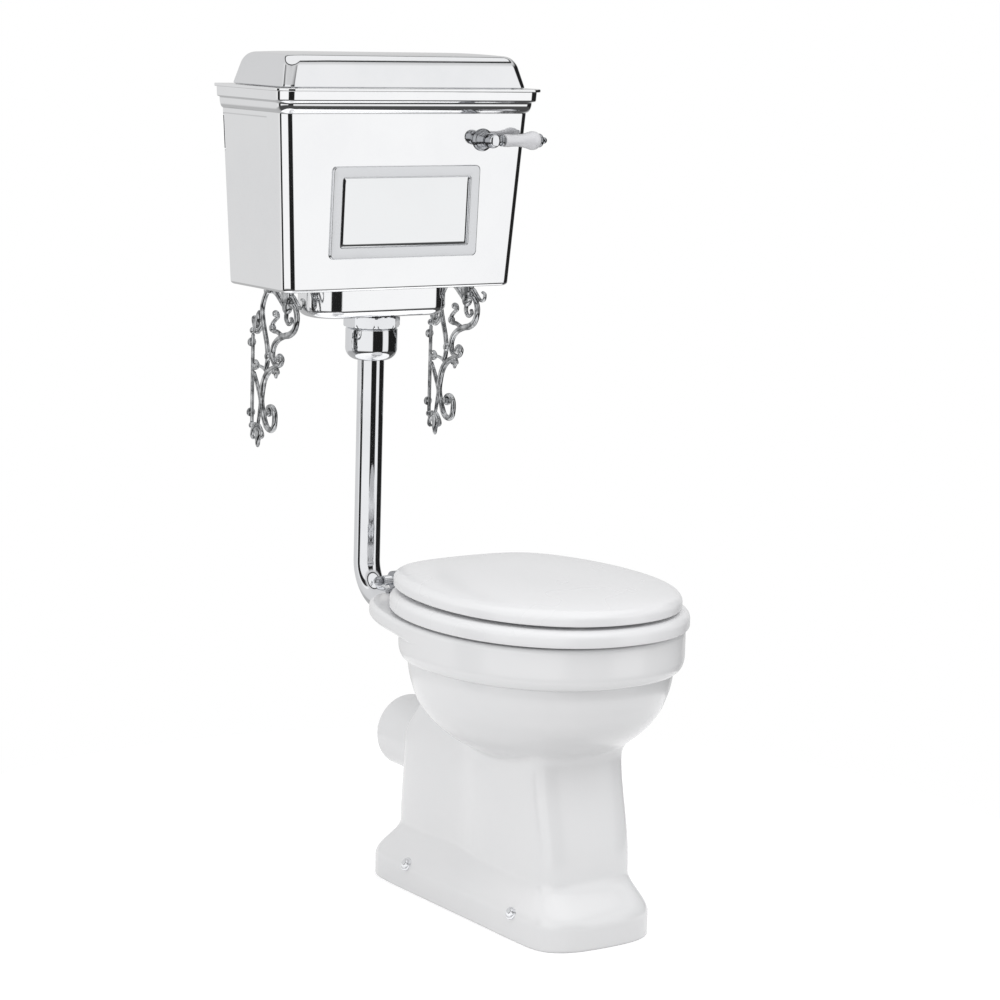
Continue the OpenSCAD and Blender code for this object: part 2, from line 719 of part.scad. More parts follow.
// Flush lever
front_y = front_at(lever_z);
boss_out = 19;
spindle_r = spindle_d / 2;
lever_y = front_y + 29;
arm_y = outlet_y;
lift_tilt = 20;
lift_t = 5;
lift_hole_d = 11;
module behind_front(gap) {
  translate([0, -front_y, lever_z])
    rotate([90 + front_tilt, 0, 0])
      translate([-300, -300, gap - 200])
        cube([600, 600, 200]);
}
module lever_boss() {
  color("silver")
    from_wall()
      difference() {
        union() {
          difference() {
            translate([lever_x, -front_y + 4, lever_z])
              rotate([90, 0, 0])
                rotate_extrude($fn = 64)
                  polygon([[0, 0], [16, 0], [16, 7], [14.5, 9], [13, 9.5], [12.5, 13], [11, 15],
                    [11, boss_out + 2.5], [10, boss_out + 4], [0, boss_out + 4]]);
            behind_front(0);
          }
          rod_y(lever_x, -front_y - 3, -front_y + 22, lever_z, lever_hole_d / 2 - free_gap);
        }
        rod_y(lever_x, -front_y - 40, -front_y + 40, lever_z, spindle_r + run_gap);
      }
}
module lever_washer() {
  color("dimgray")
    from_wall()
      difference() {
        rod_y(lever_x, -front_y - 4, -front_y + metal_t + 3, lever_z, 15);
        rod_y(lever_x, -front_y - 10, -front_y + 20, lever_z, lever_hole_d / 2 - free_gap + thread_gap);
        translate([0, -front_y, lever_z])
          rotate([90 + front_tilt, 0, 0])
            translate([-300, -300, -metal_t])
              cube([600, 600, 200]);
      }
}
module lever_back_nut() {
  y = -front_y + metal_t + 3;
  color("silver")
    from_wall()
      difference() {
        translate([lever_x, y, lever_z])
          rotate([-90, 0, 0]) cylinder(h = 7, r = 15 / cos(30), $fn = 6);
        rod_y(lever_x, y - 5, y + 15, lever_z, lever_hole_d / 2 - free_gap + thread_gap);
      }
}
module lever_spindle() {
  color("silver")
    from_wall()
      rod_y(lever_x, -lever_y - 3, -arm_y + lift_t / 2 + 4, lever_z, spindle_r);
}
neck_out = 19;
tang_r = 3;
module lever_neck() {
  color("silver")
    from_wall()
      difference() {
        union() {
          rod_y(lever_x, -lever_y - 7, -front_y - boss_out - free_gap, lever_z, 9.5);
          translate([lever_x, -lever_y, lever_z])
            rotate([0, 90, 0])
              rotate_extrude($fn = 64)
                polygon([[0, 0], [6, 0], [5.2, 10], [5.2, 13], [8, 14], [8, 16.5], [6.5, 17.5], [6.5, neck_out],
                  [tang_r, neck_out], [tang_r, neck_out + grip_len + 4], [0, neck_out + grip_len + 4]]);
        }
        rod_y(lever_x, -lever_y - 3, -front_y, lever_z, spindle_r + 0.01);
      }
}
module lever_button() {
  color("silver")
    from_wall()
      translate([lever_x, -lever_y - 7, lever_z])
        rotate([90, 0, 0])
          rotate_extrude($fn = 64)
            polygon([[0, 0], [8, 0], [8, 1.2], [7, 2.2], [4, 3.2], [0, 3.6]]);
}
module lever_handle() {
  outline = [[7, 0], [8.6, 1], [8.8, 0.1 * grip_len], [8.3, 0.3 * grip_len], [8.8, 0.5 * grip_len],
    [11, 0.68 * grip_len], [13.2, 0.82 * grip_len], [13.4, 0.9 * grip_len], [11.2, grip_len]];
  smooth = spline(outline, 4);
  color("white")
    from_wall()
      translate([lever_x + neck_out, -lever_y, lever_z])
        rotate([0, 90, 0])
          rotate_extrude($fn = 96)
            polygon(concat([[tang_r + run_gap, 0]], smooth, [[tang_r + run_gap, grip_len]]));
}
module lever_end_cap() {
  color("silver")
    from_wall()
      translate([lever_x + neck_out + grip_len, -lever_y, lever_z])
        rotate([0, 90, 0])
          rotate_extrude($fn = 64)
            polygon(concat([[tang_r + run_gap, 0], [11.4, 0], [11.8, 1.5], [10.8, 3.5], [7, 5], [4.5, 6]],
              [for (a = [-30:20:70]) [4.6 * cos(a), 8.6 + 4.6 * sin(a)]],
              [[0, 13.2], [0, 4.2], [tang_r + run_gap, 4.2]]));
}
lift_x = lever_x - lift_len * cos(lift_tilt);
lift_z = lever_z - lift_len * sin(lift_tilt);
module siphon_lift_arm() {
  color("goldenrod")
    from_wall()
      difference() {
        union() {
          rod_y(lever_x, -arm_y - 6, -arm_y + 6, lever_z, 10);
          rod_y(lift_x, -arm_y - lift_t / 2, -arm_y + lift_t / 2, lift_z, 9);
          translate([lever_x, -arm_y, lever_z])
            rotate([90, -lift_tilt, 0])
              linear_extrude(lift_t - 1, center = true)
                polygon([[0, 7], [0, -7], [-lift_len, -5.5], [-lift_len, 5.5]]);
        }
        rod_y(lever_x, -arm_y - 8, -arm_y + 8, lever_z, spindle_r + 0.01);
        rod_y(lift_x, -arm_y - 5, -arm_y + 5, lift_z, lift_hole_d / 2);
      }
}

// Siphon: water is lifted up the chamber's leg, over the bend and down the outlet leg
leg_r = leg_d / 2;
leg_t = 3;
bend_r = leg_gap / 2;
bend_z = tank_z + 109;
chamber_z = tank_z + 12;
chamber_h = 54;
chamber_r = chamber_d / 2;
washer_t = 3;
tail_z = well_z - 44;
flange_z = well_z + well_floor_t + washer_t;
guide_z = bend_z + 48;
piston_rod_d = 7;
eye_z = guide_z + 9;
link_wire = 3;
module bend(r) {
  translate([bend_r, -outlet_y, bend_z])
    rotate([90, 0, 0])
      rotate_extrude(angle = 180, $fn = 96)
        translate([bend_r, 0]) circle(r = r, $fn = 64);
}
module outlet_leg(z0, r) {
  translate([0, -outlet_y, bend_z]) mirror([0, 0, 1]) cylinder(h = bend_z - z0, r = r, $fn = 64);
}
module chamber(r, leg, z0, z1, rise) {
  low = z0 - bend_z;
  high = z1 - bend_z;
  translate([leg_gap, -outlet_y, bend_z])
    rotate_extrude($fn = 96)
      polygon([[0, low], [r, low], [r, high], [leg, high + rise], [leg, 0], [0, 0]]);
}
module siphon_body() {
  color("ivory")
    from_wall()
      difference() {
        union() {
          rod_z(0, -outlet_y, tail_z, flange_z + 1, tail_d / 2);
          rod_z(0, -outlet_y, flange_z, flange_z + 6, 34);
          outlet_leg(flange_z + 5, leg_r);
          bend(leg_r);
          chamber(chamber_r, leg_r, chamber_z, chamber_z + chamber_h, 22);
          rod_z(leg_gap, -outlet_y, bend_z + 25, guide_z, 8);
        }
        outlet_leg(tail_z - 1, leg_r - leg_t);
        bend(leg_r - leg_t);
        chamber(chamber_r - leg_t, leg_r - leg_t, chamber_z - 1, chamber_z + chamber_h - 2, 22);
        rod_z(leg_gap, -outlet_y, bend_z, guide_z + 1, piston_rod_d / 2 + run_gap);
      }
}
module siphon_piston() {
  plate_z = chamber_z + 4;
  color("ivory")
    from_wall()
      difference() {
        union() {
          rod_z(leg_gap, -outlet_y, plate_z, plate_z + 4, chamber_r - leg_t - free_gap);
          rod_z(leg_gap, -outlet_y, plate_z + 3, eye_z - 5, piston_rod_d / 2);
          rod_y(leg_gap, -outlet_y - 2, -outlet_y + 2, eye_z, 7);
        }
        for (a = [30:60:330])
          rod_z(leg_gap + 24 * cos(a), -outlet_y + 24 * sin(a), plate_z - 1, plate_z + 5, 7.5);
        rod_y(leg_gap, -outlet_y - 5, -outlet_y + 5, eye_z, link_wire / 2 + free_gap + 0.1);
      }
}
module siphon_diaphragm() {
  z = chamber_z + 8;
  color("dimgray")
    from_wall()
      difference() {
        rod_z(leg_gap, -outlet_y, z, z + 1.5, chamber_r - leg_t - 0.8);
        rod_z(leg_gap, -outlet_y, z - 1, z + 3, piston_rod_d / 2 + run_gap);
      }
}
module lift_link() {
  opening = 24;
  color("silver")
    from_wall()
      translate([leg_gap, -outlet_y, (lift_z + eye_z) / 2])
        rotate([90, 0, 90])
          rotate([0, 0, opening / 2])
            rotate_extrude(angle = 360 - opening, $fn = 96)
              translate([(lift_z - eye_z) / 2, 0]) circle(r = link_wire / 2, $fn = 32);
}
module siphon_washer() {
  color("dimgray")
    from_wall()
      difference() {
        rod_z(0, -outlet_y, well_z + well_floor_t, flange_z, 33);
        rod_z(0, -outlet_y, well_z, flange_z + 1, tail_d / 2 + thread_gap);
      }
}

// Under the cistern
back_nut_h = 22;
cup_h = 46;
cup_r = 37;
cup_round = 16;
collar_z = tail_z - 8;
module siphon_back_nut() {
  color("silver")
    from_wall()
      difference() {
        nut_z(0, -outlet_y, well_z - back_nut_h, well_z, 77, 8);
        rod_z(0, -outlet_y, well_z - back_nut_h - 1, well_z + 1, tail_d / 2 + thread_gap);
      }
}
module flush_cup_nut() {
  top = well_z - back_nut_h - free_gap;
  color("silver")
    from_wall()
      difference() {
        translate([0, -outlet_y, 0])
          rotate_extrude($fn = 96)
            polygon(concat([[0, top - cup_h], [cup_r - cup_round, top - cup_h]],
              [for (a = [-75:15:0])
                [cup_r - cup_round + cup_round * cos(a), top - cup_h + cup_round + cup_round * sin(a)]],
              [[cup_r, top - 3], [cup_r - 2, top], [0, top]]));
        rod_z(0, -outlet_y, collar_z, top + 1, tail_d / 2 + thread_gap);
        rod_z(0, -outlet_y, top - cup_h - 1, top, pipe_d / 2 + 0.4);
      }
}
module flush_pipe_washer() {
  color("dimgray")
    from_wall()
      difference() {
        rod_z(0, -outlet_y, collar_z + 4, tail_z, tail_d / 2 - 1);
        rod_z(0, -outlet_y, collar_z, tail_z + 1, pipe_d / 2 - 1.5);
      }
}
pipe_t = 1.5;
pipe_end = horn_gap + 37;
module pipe_run(r, over) {
  rod_z(0, -outlet_y, inlet_z + elbow_r, collar_z + 4 + over, r);
  translate([0, -outlet_y - elbow_r, inlet_z + elbow_r])
    rotate([90, 0, -90])
      rotate([0, 0, 180])
        rotate_extrude(angle = 90, $fn = 96)
          translate([elbow_r, 0]) circle(r = r, $fn = 64);
  rod_y(0, -pipe_end - over, -outlet_y - elbow_r, inlet_z, r);
}
module flush_pipe() {
  color("silver")
    from_wall()
      difference() {
        union() {
          pipe_run(pipe_d / 2, 0);
          rod_z(0, -outlet_y, collar_z, collar_z + 4, tail_d / 2 - 1);
        }
        pipe_run(pipe_d / 2 - pipe_t, 1);
      }
}
module flush_cone() {
  lip_r = horn_d / 2 + 3;
  color("dimgray")
    from_wall()
      translate([0, -horn_gap, inlet_z])
        rotate([90, 0, 0])
          rotate_extrude($fn = 96)
            polygon([[pipe_d / 2 + run_gap, 24], [horn_bore / 2 - 0.6, 24], [horn_bore / 2 - run_gap, 18],
              [horn_bore / 2 - run_gap, 0], [lip_r, 0], [lip_r, -6], [lip_r - 3, -9], [lip_r - 6, -12],
              [pipe_d / 2 + run_gap, -12]]);
}

// Float valve on the right side, with its arm reaching behind the siphon
wall_in = side_at(valve_z) - metal_t;
wall_out = side_at(valve_z) - panel_t;
valve_r = valve_d / 2;
barrel_r = valve_r + 3.75;
tail_r = inlet_d / 2;
flange_x = wall_in - 7;
pivot_x = flange_x - 46;
pivot_z = valve_z - 13;
arm_drop = 25;
toe_r = 8;
toe_lean = arm_drop / 2;
slot_x = pivot_x - toe_r * sin(toe_lean);
cheek_in = valve_r + 0.75;
cheek_t = 4;
pin_r = 2;
tail_x = side_at(valve_z) + 19.5;
shank_r = tail_r + 0.6;
nut_x = wall_out + 3;
nut_t = 7;
spout_x = flange_x - 8.5;
spout_r = 5.5;
module beyond_side(x) {
  translate([x, 0, valve_z])
    rotate([0, side_tilt, 0])
      translate([0, -300, -300])
        cube([300, 600, 600]);
}
module fill_valve_body() {
  color("goldenrod")
    from_wall()
      difference() {
        union() {
          rod_x(pivot_x + 9, flange_x, -inlet_y, valve_z, barrel_r);
          rod_x(flange_x, flange_x + 4.2, -inlet_y, valve_z, barrel_r + 3);
          rod_x(flange_x + 4, nut_x + nut_t + 0.5, -inlet_y, valve_z, shank_r);
          rod_x(nut_x + nut_t, tail_x, -inlet_y, valve_z, tail_r);
          for (s = [-1, 1])
            translate([pivot_x - 8, -inlet_y - cheek_t / 2 + s * (cheek_in + cheek_t / 2), pivot_z - 4])
              cube([18, cheek_t, 24]);
          rod_z(spout_x, -inlet_y, valve_z - 28, valve_z, spout_r);
        }
        rod_x(pivot_x - 20, flange_x - 9, -inlet_y, valve_z, valve_r + run_gap);
        rod_x(flange_x - 10, tail_x - 12, -inlet_y, valve_z, 2.5);
        rod_x(tail_x - 14, tail_x + 1, -inlet_y, valve_z, tail_r - 3);
        rod_z(spout_x, -inlet_y, valve_z - 29, valve_z, spout_r - 2);
        rod_y(pivot_x, -inlet_y - 30, -inlet_y + 30, pivot_z, pin_r + run_gap);
      }
}
module fill_valve_washers() {
  color("dimgray")
    from_wall()
      difference() {
        rod_x(flange_x + 4.2, nut_x, -inlet_y, valve_z, shank_r + 4);
        rod_x(flange_x, tail_x, -inlet_y, valve_z, shank_r + thread_gap);
        difference() {
          beyond_side(wall_in);
          beyond_side(wall_out);
        }
      }
}
module fill_valve_back_nut() {
  color("goldenrod")
    from_wall()
      difference() {
        translate([nut_x, -inlet_y, valve_z])
          rotate([0, 90, 0]) cylinder(h = nut_t, r = 15 / cos(30), $fn = 6);
        rod_x(wall_out, wall_out + 20, -inlet_y, valve_z, shank_r + thread_gap);
      }
}
module valve_piston() {
  slot_half = 3;
  color("goldenrod")
    from_wall()
      difference() {
        rod_x(slot_x - slot_half - 3, flange_x - 14, -inlet_y, valve_z, valve_r);
        translate([slot_x - slot_half, -inlet_y - 3.2, pivot_z])
          cube([2 * slot_half, 6.4, 15]);
      }
}
module float_arm_pin() {
  reach_y = cheek_in + cheek_t + 1.5;
  color("silver")
    from_wall() {
      rod_y(pivot_x, -inlet_y - reach_y, -inlet_y + reach_y, pivot_z, pin_r);
      for (s = [-1, 1])
        translate([pivot_x, -inlet_y + s * (cheek_in + cheek_t + 1), pivot_z])
          rotate([90, 0, 0]) cylinder(h = 1.6, r = 3.2, center = true, $fn = 48);
    }
}
module float_arm() {
  arm_r = 3;
  socket = float_len - float_d / 2 + 8;
  color("goldenrod")
    from_wall()
      difference() {
        union() {
          rod_y(pivot_x, -inlet_y - 2.6, -inlet_y + 2.6, pivot_z, 4);
          translate([pivot_x, -inlet_y, pivot_z]) {
            rotate([0, -toe_lean, 0]) {
              translate([-1.8, -2.4, 0]) cube([3.6, 4.8, 10]);
              translate([0, 0, 10]) rotate([90, 0, 0]) cylinder(h = 4.8, r = 1.8, center = true, $fn = 32);
            }
            rotate([0, -90 - arm_drop, 0]) cylinder(h = socket, r = arm_r, $fn = 48);
          }
        }
        rod_y(pivot_x, -inlet_y - 5, -inlet_y + 5, pivot_z, pin_r + run_gap);
      }
}
module float_ball() {
  color("darkgoldenrod")
    from_wall()
      translate([pivot_x, -inlet_y, pivot_z])
        rotate([0, -90 - arm_drop, 0])
          difference() {
            union() {
              translate([0, 0, float_len]) sphere(d = float_d, $fn = 96);
              translate([0, 0, float_len - float_d / 2 - 5]) cylinder(h = 10, r = 7, $fn = 48);
            }
            translate([0, 0, float_len - float_d / 2 - 10])
              cylinder(h = 18.05, r = 3 + run_gap, $fn = 48);
          }
}

// Brackets: cast scrolls drawn as distance from the wall and height, in millimetres under the floor
function width_at(widths, k, n) =
  let(t = k / (n - 1) * (len(widths) - 1), i = min(len(widths) - 2, floor(t)))
  widths[i] + (widths[i + 1] - widths[i]) * (t - i);
module stroke(points, widths, t) {
  p = spline(points, 4);
  n = len(p);
  left = [for (k = [0:n - 1]) p[k] + width_at(widths, k, n) / 2 * [-along(p, k)[1], along(p, k)[0]]];
  right = [for (k = [n - 1:-1:0]) p[k] - width_at(widths, k, n) / 2 * [-along(p, k)[1], along(p, k)[0]]];
  linear_extrude(t, center = true) polygon(concat(left, right));
}
module bead(at, r, t) {
  translate(at) cylinder(h = t, r = r, center = true, $fn = 48);
}
upper_scroll = [[104, -20], [118, -22], [125, -36], [120, -53], [107, -62], [91, -66], [76, -72],
  [65, -81], [60, -93], [63, -104], [72, -109], [82, -107], [86, -99], [80, -94], [74, -98]];
lower_scroll = [[76, -110], [63, -114], [48, -122], [38, -134], [33, -149], [31, -163], [34, -176],
  [40, -189], [47, -199], [57, -202], [66, -198], [69, -187], [68, -176], [61, -169], [52, -170],
  [47, -177], [51, -182]];
rear_arc = [[48, -3], [38, -15], [31, -30], [31, -44], [37, -63], [44, -82], [47, -99], [45, -112],
  [41, -121]];
front_arc = [[56, -4.5], [69, -8.5], [80, -16], [92, -25]];
inner_scroll = [[86, -66], [72, -62], [61, -61], [59, -53], [66, -46], [73, -41], [70, -35], [63, -38]];
top_curl = [[98, -18], [112, -9], [123, -16], [132, -22], [141, -21], [143, -13], [136, -10]];
hook = [[98, -26], [96, -41], [103, -48], [111, -44], [109, -37]];
brace = [[8, -124], [21, -146], [28, -164], [26, -180], [22, -200]];
tie = [[8, -118], [22, -115], [36, -117], [44, -121]];
bar_y = 6;
bar_top = -70;
bar_low = -202;
lug_zs = [-84, -184];
lug_hole_d = 4.5;
module leaf(at, turn, size) {
  translate(at)
    rotate(turn) {
      stroke([[0, 0], [0.35 * size, 0.1 * size], [0.7 * size, 0.02 * size], [size, 0]],
        [0.3 * size, 0.52 * size, 0.34 * size, 1], bracket_t - 1);
      for (s = [-1, 1])
        stroke([[0, 0], [0.22 * size, s * 0.28 * size], [0.5 * size, s * 0.42 * size],
          [0.62 * size, s * 0.26 * size]], [0.3 * size, 0.26 * size, 0.2 * size, 0.12 * size], bracket_t - 2);
    }
}
module bracket() {
  lift = -0.2;
  translate([bracket_span / 2, 0, tank_z + lift])
      rotate([90, 0, -90]) {
        stroke(upper_scroll, [6, 9, 10, 9, 8, 7, 5], bracket_t);
        stroke(lower_scroll, [6, 10, 10, 8, 9, 7, 5], bracket_t);
        stroke(rear_arc, [9, 8, 7, 7], bracket_t - 1.2);
        stroke(front_arc, [8, 9, 8], bracket_t - 1.2);
        stroke(inner_scroll, [6, 7, 5, 5], bracket_t - 1.6);
        stroke(top_curl, [7, 7, 5, 4], bracket_t - 2.4);
        stroke(hook, [8, 7, 5, 4], bracket_t - 2);
        stroke(brace, [5, 8, 5, 4], bracket_t - 2.8);
        stroke(tie, [5, 4, 6], bracket_t - 2.6);
        stroke([[bar_y, bar_top], [bar_y, bar_low]], [7, 7], bracket_t - 0.6);
        stroke([[52, -9], [52, 0]], [22, 20], bracket_t + 4);
        stroke([[98, -18], [98, 0]], [9, 12], bracket_t + 3);
        bead([98, -25], 10, bracket_t + 4);
        bead([78, -99], 5, bracket_t + 3);
        bead([53, -178], 6, bracket_t + 3);
        bead([48, -99], 6.5, bracket_t + 2);
        bead([67, -37], 5, bracket_t + 2);
        bead([59, -58], 6, bracket_t + 1.6);
        leaf([98, -25], 70, 24);
        leaf([69, -112], -85, 16);
        leaf([20, -116], 170, 15);
        leaf([16, bar_top + 3], 80, 31);
        leaf([18, bar_low + 4], -82, 34);
        for (p = [[5, bar_top + 3], [17, bar_top + 4], [6, bar_low], [20, bar_low + 1]])
          bead(p, 5, bracket_t + 2);
      }
}
module bracket_right() {
  color("silver")
    from_wall()
      bracket_with_lugs();
}
module bracket_left() {
  color("silver")
    from_wall()
      mirror([1, 0, 0]) bracket_with_lugs();
}
module bracket_with_lugs() {
  difference() {
    union() {
      bracket();
      for (z = lug_zs)
        rod_y(bracket_span / 2, -3, 0, tank_z + z, 8);
    }
    for (z = lug_zs)
      rod_y(bracket_span / 2, -30, 5, tank_z + z, lug_hole_d / 2);
  }
}

pan();
floor_screws();
floor_screw_caps();
seat_ring();
seat_buffers();
seat_straps();
seat_screws();
seat_lid();
lid_buffers();
lid_straps();
lid_screws();
hinge_pillars();
hinge_rod();
hinge_finials();
hinge_washers();
hinge_nuts();
tank_shell();
tank_lid();
name_plate_frame();
name_plate_field();
lever_boss();
lever_washer();
lever_back_nut();
lever_spindle();
lever_button();
lever_neck();
lever_handle();
lever_end_cap();
siphon_lift_arm();
lift_link();
siphon_body();
siphon_piston();
siphon_diaphragm();
siphon_washer();
siphon_back_nut();
flush_cup_nut();
flush_pipe_washer();
flush_pipe();
flush_cone();
fill_valve_body();
fill_valve_washers();
fill_valve_back_nut();
valve_piston();
float_arm_pin();
float_arm();
float_ball();
bracket_left();
bracket_right();
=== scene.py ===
"""Looks of a low level toilet, built round its packed construction model.

Shapes are worked out in millimetres from the wall: x to the viewer's right, y back towards the wall,
which stands at y = 0, and z up from the floor. They are turned into the model's own frame, in metres,
when a mesh is made.
"""
import logging
import math
from dataclasses import dataclass, field
from enum import Enum
from typing import Callable, Sequence

import bmesh
import bpy
import numpy as np
from mathutils import Matrix, Vector
from numpy.typing import NDArray


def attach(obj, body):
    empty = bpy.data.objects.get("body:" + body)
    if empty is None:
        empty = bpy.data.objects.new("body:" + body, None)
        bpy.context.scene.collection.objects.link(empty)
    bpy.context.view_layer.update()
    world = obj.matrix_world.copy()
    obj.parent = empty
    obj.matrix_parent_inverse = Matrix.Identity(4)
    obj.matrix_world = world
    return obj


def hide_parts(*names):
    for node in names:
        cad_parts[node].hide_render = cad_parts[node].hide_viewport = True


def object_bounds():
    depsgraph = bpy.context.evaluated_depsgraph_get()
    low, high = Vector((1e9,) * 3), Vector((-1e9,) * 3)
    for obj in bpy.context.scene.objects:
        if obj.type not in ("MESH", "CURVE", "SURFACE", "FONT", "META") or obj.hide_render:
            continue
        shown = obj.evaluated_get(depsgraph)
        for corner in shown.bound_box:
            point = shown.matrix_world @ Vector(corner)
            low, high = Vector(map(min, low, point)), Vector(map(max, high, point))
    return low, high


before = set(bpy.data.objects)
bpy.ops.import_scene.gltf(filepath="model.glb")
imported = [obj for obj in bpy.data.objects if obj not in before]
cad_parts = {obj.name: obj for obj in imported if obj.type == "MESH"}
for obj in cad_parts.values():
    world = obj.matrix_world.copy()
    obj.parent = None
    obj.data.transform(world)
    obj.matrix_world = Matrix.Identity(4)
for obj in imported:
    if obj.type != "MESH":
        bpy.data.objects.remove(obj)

Array = NDArray[np.float64]
Profile = Sequence[tuple[float, float]]

MM = 0.001
WALL_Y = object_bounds()[1].y
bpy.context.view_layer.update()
ROOT = "root"
COAT_ROUGH = 0.16
SUBSURFACE_REACH = 0.002
log = logging.getLogger("toilet")


# Curves and grids


def ramp(low: float, high: float, x: Array) -> Array:
    """A smooth step: nought below low, one above high, and 3t squared less 2t cubed between them.

    Args:
        low: Where the step starts.
        high: Where it ends.
        x: The places to work it out at.

    Returns:
        The height of the step at each place.
    """
    t = np.clip((x - low) / (high - low), 0.0, 1.0)
    return t * t * (3.0 - 2.0 * t)


def spline(points: Sequence[Sequence[float]], steps: int) -> Array:
    """A Catmull-Rom curve: through each point, parallel to the line between its two neighbours.

    Args:
        points: The points it passes through.
        steps: How many points each span gets.

    Returns:
        The points of the curve, the last one of the given points included.
    """
    p = np.asarray(points, float)
    a, b = np.vstack([p[:1], p[:-2]]), p[:-1]
    c, d = p[1:], np.vstack([p[2:], p[-1:]])
    t = (np.arange(steps) / steps)[:, None, None]
    curve = 0.5 * (
        2 * b
        + (c - a) * t
        + (2 * a - 5 * b + 4 * c - d) * t**2
        + (3 * b - a - 3 * c + d) * t**3
    )
    return np.vstack([curve.transpose(1, 0, 2).reshape(-1, p.shape[1]), p[-1:]])


def rounded(points: Profile, radius: float | Sequence[float], steps: int = 5, closed: bool = False) -> Array:
    """Rounds the corners of a broken line, each with a parabola that starts and ends radius from it.

    Args:
        points: The corners of the line.
        radius: How far from each corner its curve starts, in one value or one for each corner.
        steps: How many points each curve gets, less one.
        closed: Whether the line runs back from its last point to its first.

    Returns:
        The points of the rounded line.
    """
    p = np.asarray(points, float)
    before, after = np.roll(p, 1, axis=0), np.roll(p, -1, axis=0)
    back, ahead = before - p, after - p
    back_l = np.linalg.norm(back, axis=1, keepdims=True)
    ahead_l = np.linalg.norm(ahead, axis=1, keepdims=True)
    reach = np.minimum(np.minimum(0.48 * back_l, 0.48 * ahead_l), np.reshape(radius, (-1, 1)))
    if not closed:
        reach[[0, -1]] = 0.0
    start, end = p + back / back_l * reach, p + ahead / ahead_l * reach
    t = np.linspace(0.0, 1.0, steps + 1)[:, None, None]
    curve = (1 - t) ** 2 * start + 2 * t * (1 - t) * p + t**2 * end
    line = curve.transpose(1, 0, 2).reshape(-1, p.shape[1])
    keep = np.append(True, np.linalg.norm(np.diff(line, axis=0), axis=1) > 1e-6)
    return line[keep]


def circle_angles(count: int) -> Array:
    """Angles that share a full turn out evenly, the first at nought."""
    return np.linspace(0.0, 2 * math.pi, count, endpoint=False)


def headings(path: Array) -> Array:
    """The unit direction of a path at each point: the slope between its two neighbours, made one long."""
    step = np.gradient(path, axis=0)
    return step / np.linalg.norm(step, axis=1, keepdims=True)


def quarter(size: float, height: float, steps: int) -> Array:
    """A quarter of an ellipse, from (0, 0) standing upright to (size, height) lying flat.

    Args:
        size: How far it goes in.
        height: How far it rises.
        steps: How many points it gets, less one.

    Returns:
        Points as pairs of inset and rise.
    """
    a = np.linspace(0.0, math.pi / 2, steps + 1)
    return np.column_stack([size * (1 - np.cos(a)), height * np.sin(a)])


def undercut(size: float, height: float, steps: int) -> Array:
    """A quarter of an ellipse, from (size, 0) lying flat to (0, height) standing upright.

    Args:
        size: How far it comes out.
        height: How far it rises.
        steps: How many points it gets, less one.

    Returns:
        Points as pairs of inset and rise.
    """
    a = np.linspace(0.0, math.pi / 2, steps + 1)
    return np.column_stack([size * (1 - np.sin(a)), height * (1 - np.cos(a))])


def turned(profile: Array, at: Sequence[float], axis: Sequence[float], sides: int = 96) -> Array:
    """A turned shape: each point of the profile goes round the axis in a circle.

    Args:
        profile: Pairs of radius and distance along the axis.
        at: Where the distance is nought.
        axis: The direction of the axis.
        sides: How many points a circle gets.

    Returns:
        A grid of points, one row for each point of the profile.
    """
    along = np.asarray(axis, float) / np.linalg.norm(axis)
    helper = np.array([0.0, 0.0, 1.0]) if abs(along[2]) < 0.9 else np.array([1.0, 0.0, 0.0])
    u = np.cross(helper, along)
    u /= np.linalg.norm(u)
    v = np.cross(along, u)
    a = circle_angles(sides)
    ring = np.cos(a)[:, None] * u + np.sin(a)[:, None] * v
    profile = np.asarray(profile, float)
    return np.asarray(at, float) + profile[:, :1, None] * ring + profile[:, 1:, None] * along


def swept(path: Array, section: Callable[[Array, Array], Array], normal: Sequence[float]) -> Array:
    """Carries a section along a path that lies in one plane.

    Args:
        path: The points of the path.
        section: Gives the section's (side, normal) pairs from the share of the length, and the length, at each point.
        normal: The direction square to the plane.

    Returns:
        A grid of points, one row for each point of the path.
    """
    step = headings(path)
    normal = np.asarray(normal, float)
    side = np.cross(normal, step)
    run = np.append(0.0, np.cumsum(np.linalg.norm(np.diff(path, axis=0), axis=1)))
    pairs = section(run / run[-1], run)
    return path[:, None, :] + pairs[..., :1] * side[:, None, :] + pairs[..., 1:] * normal


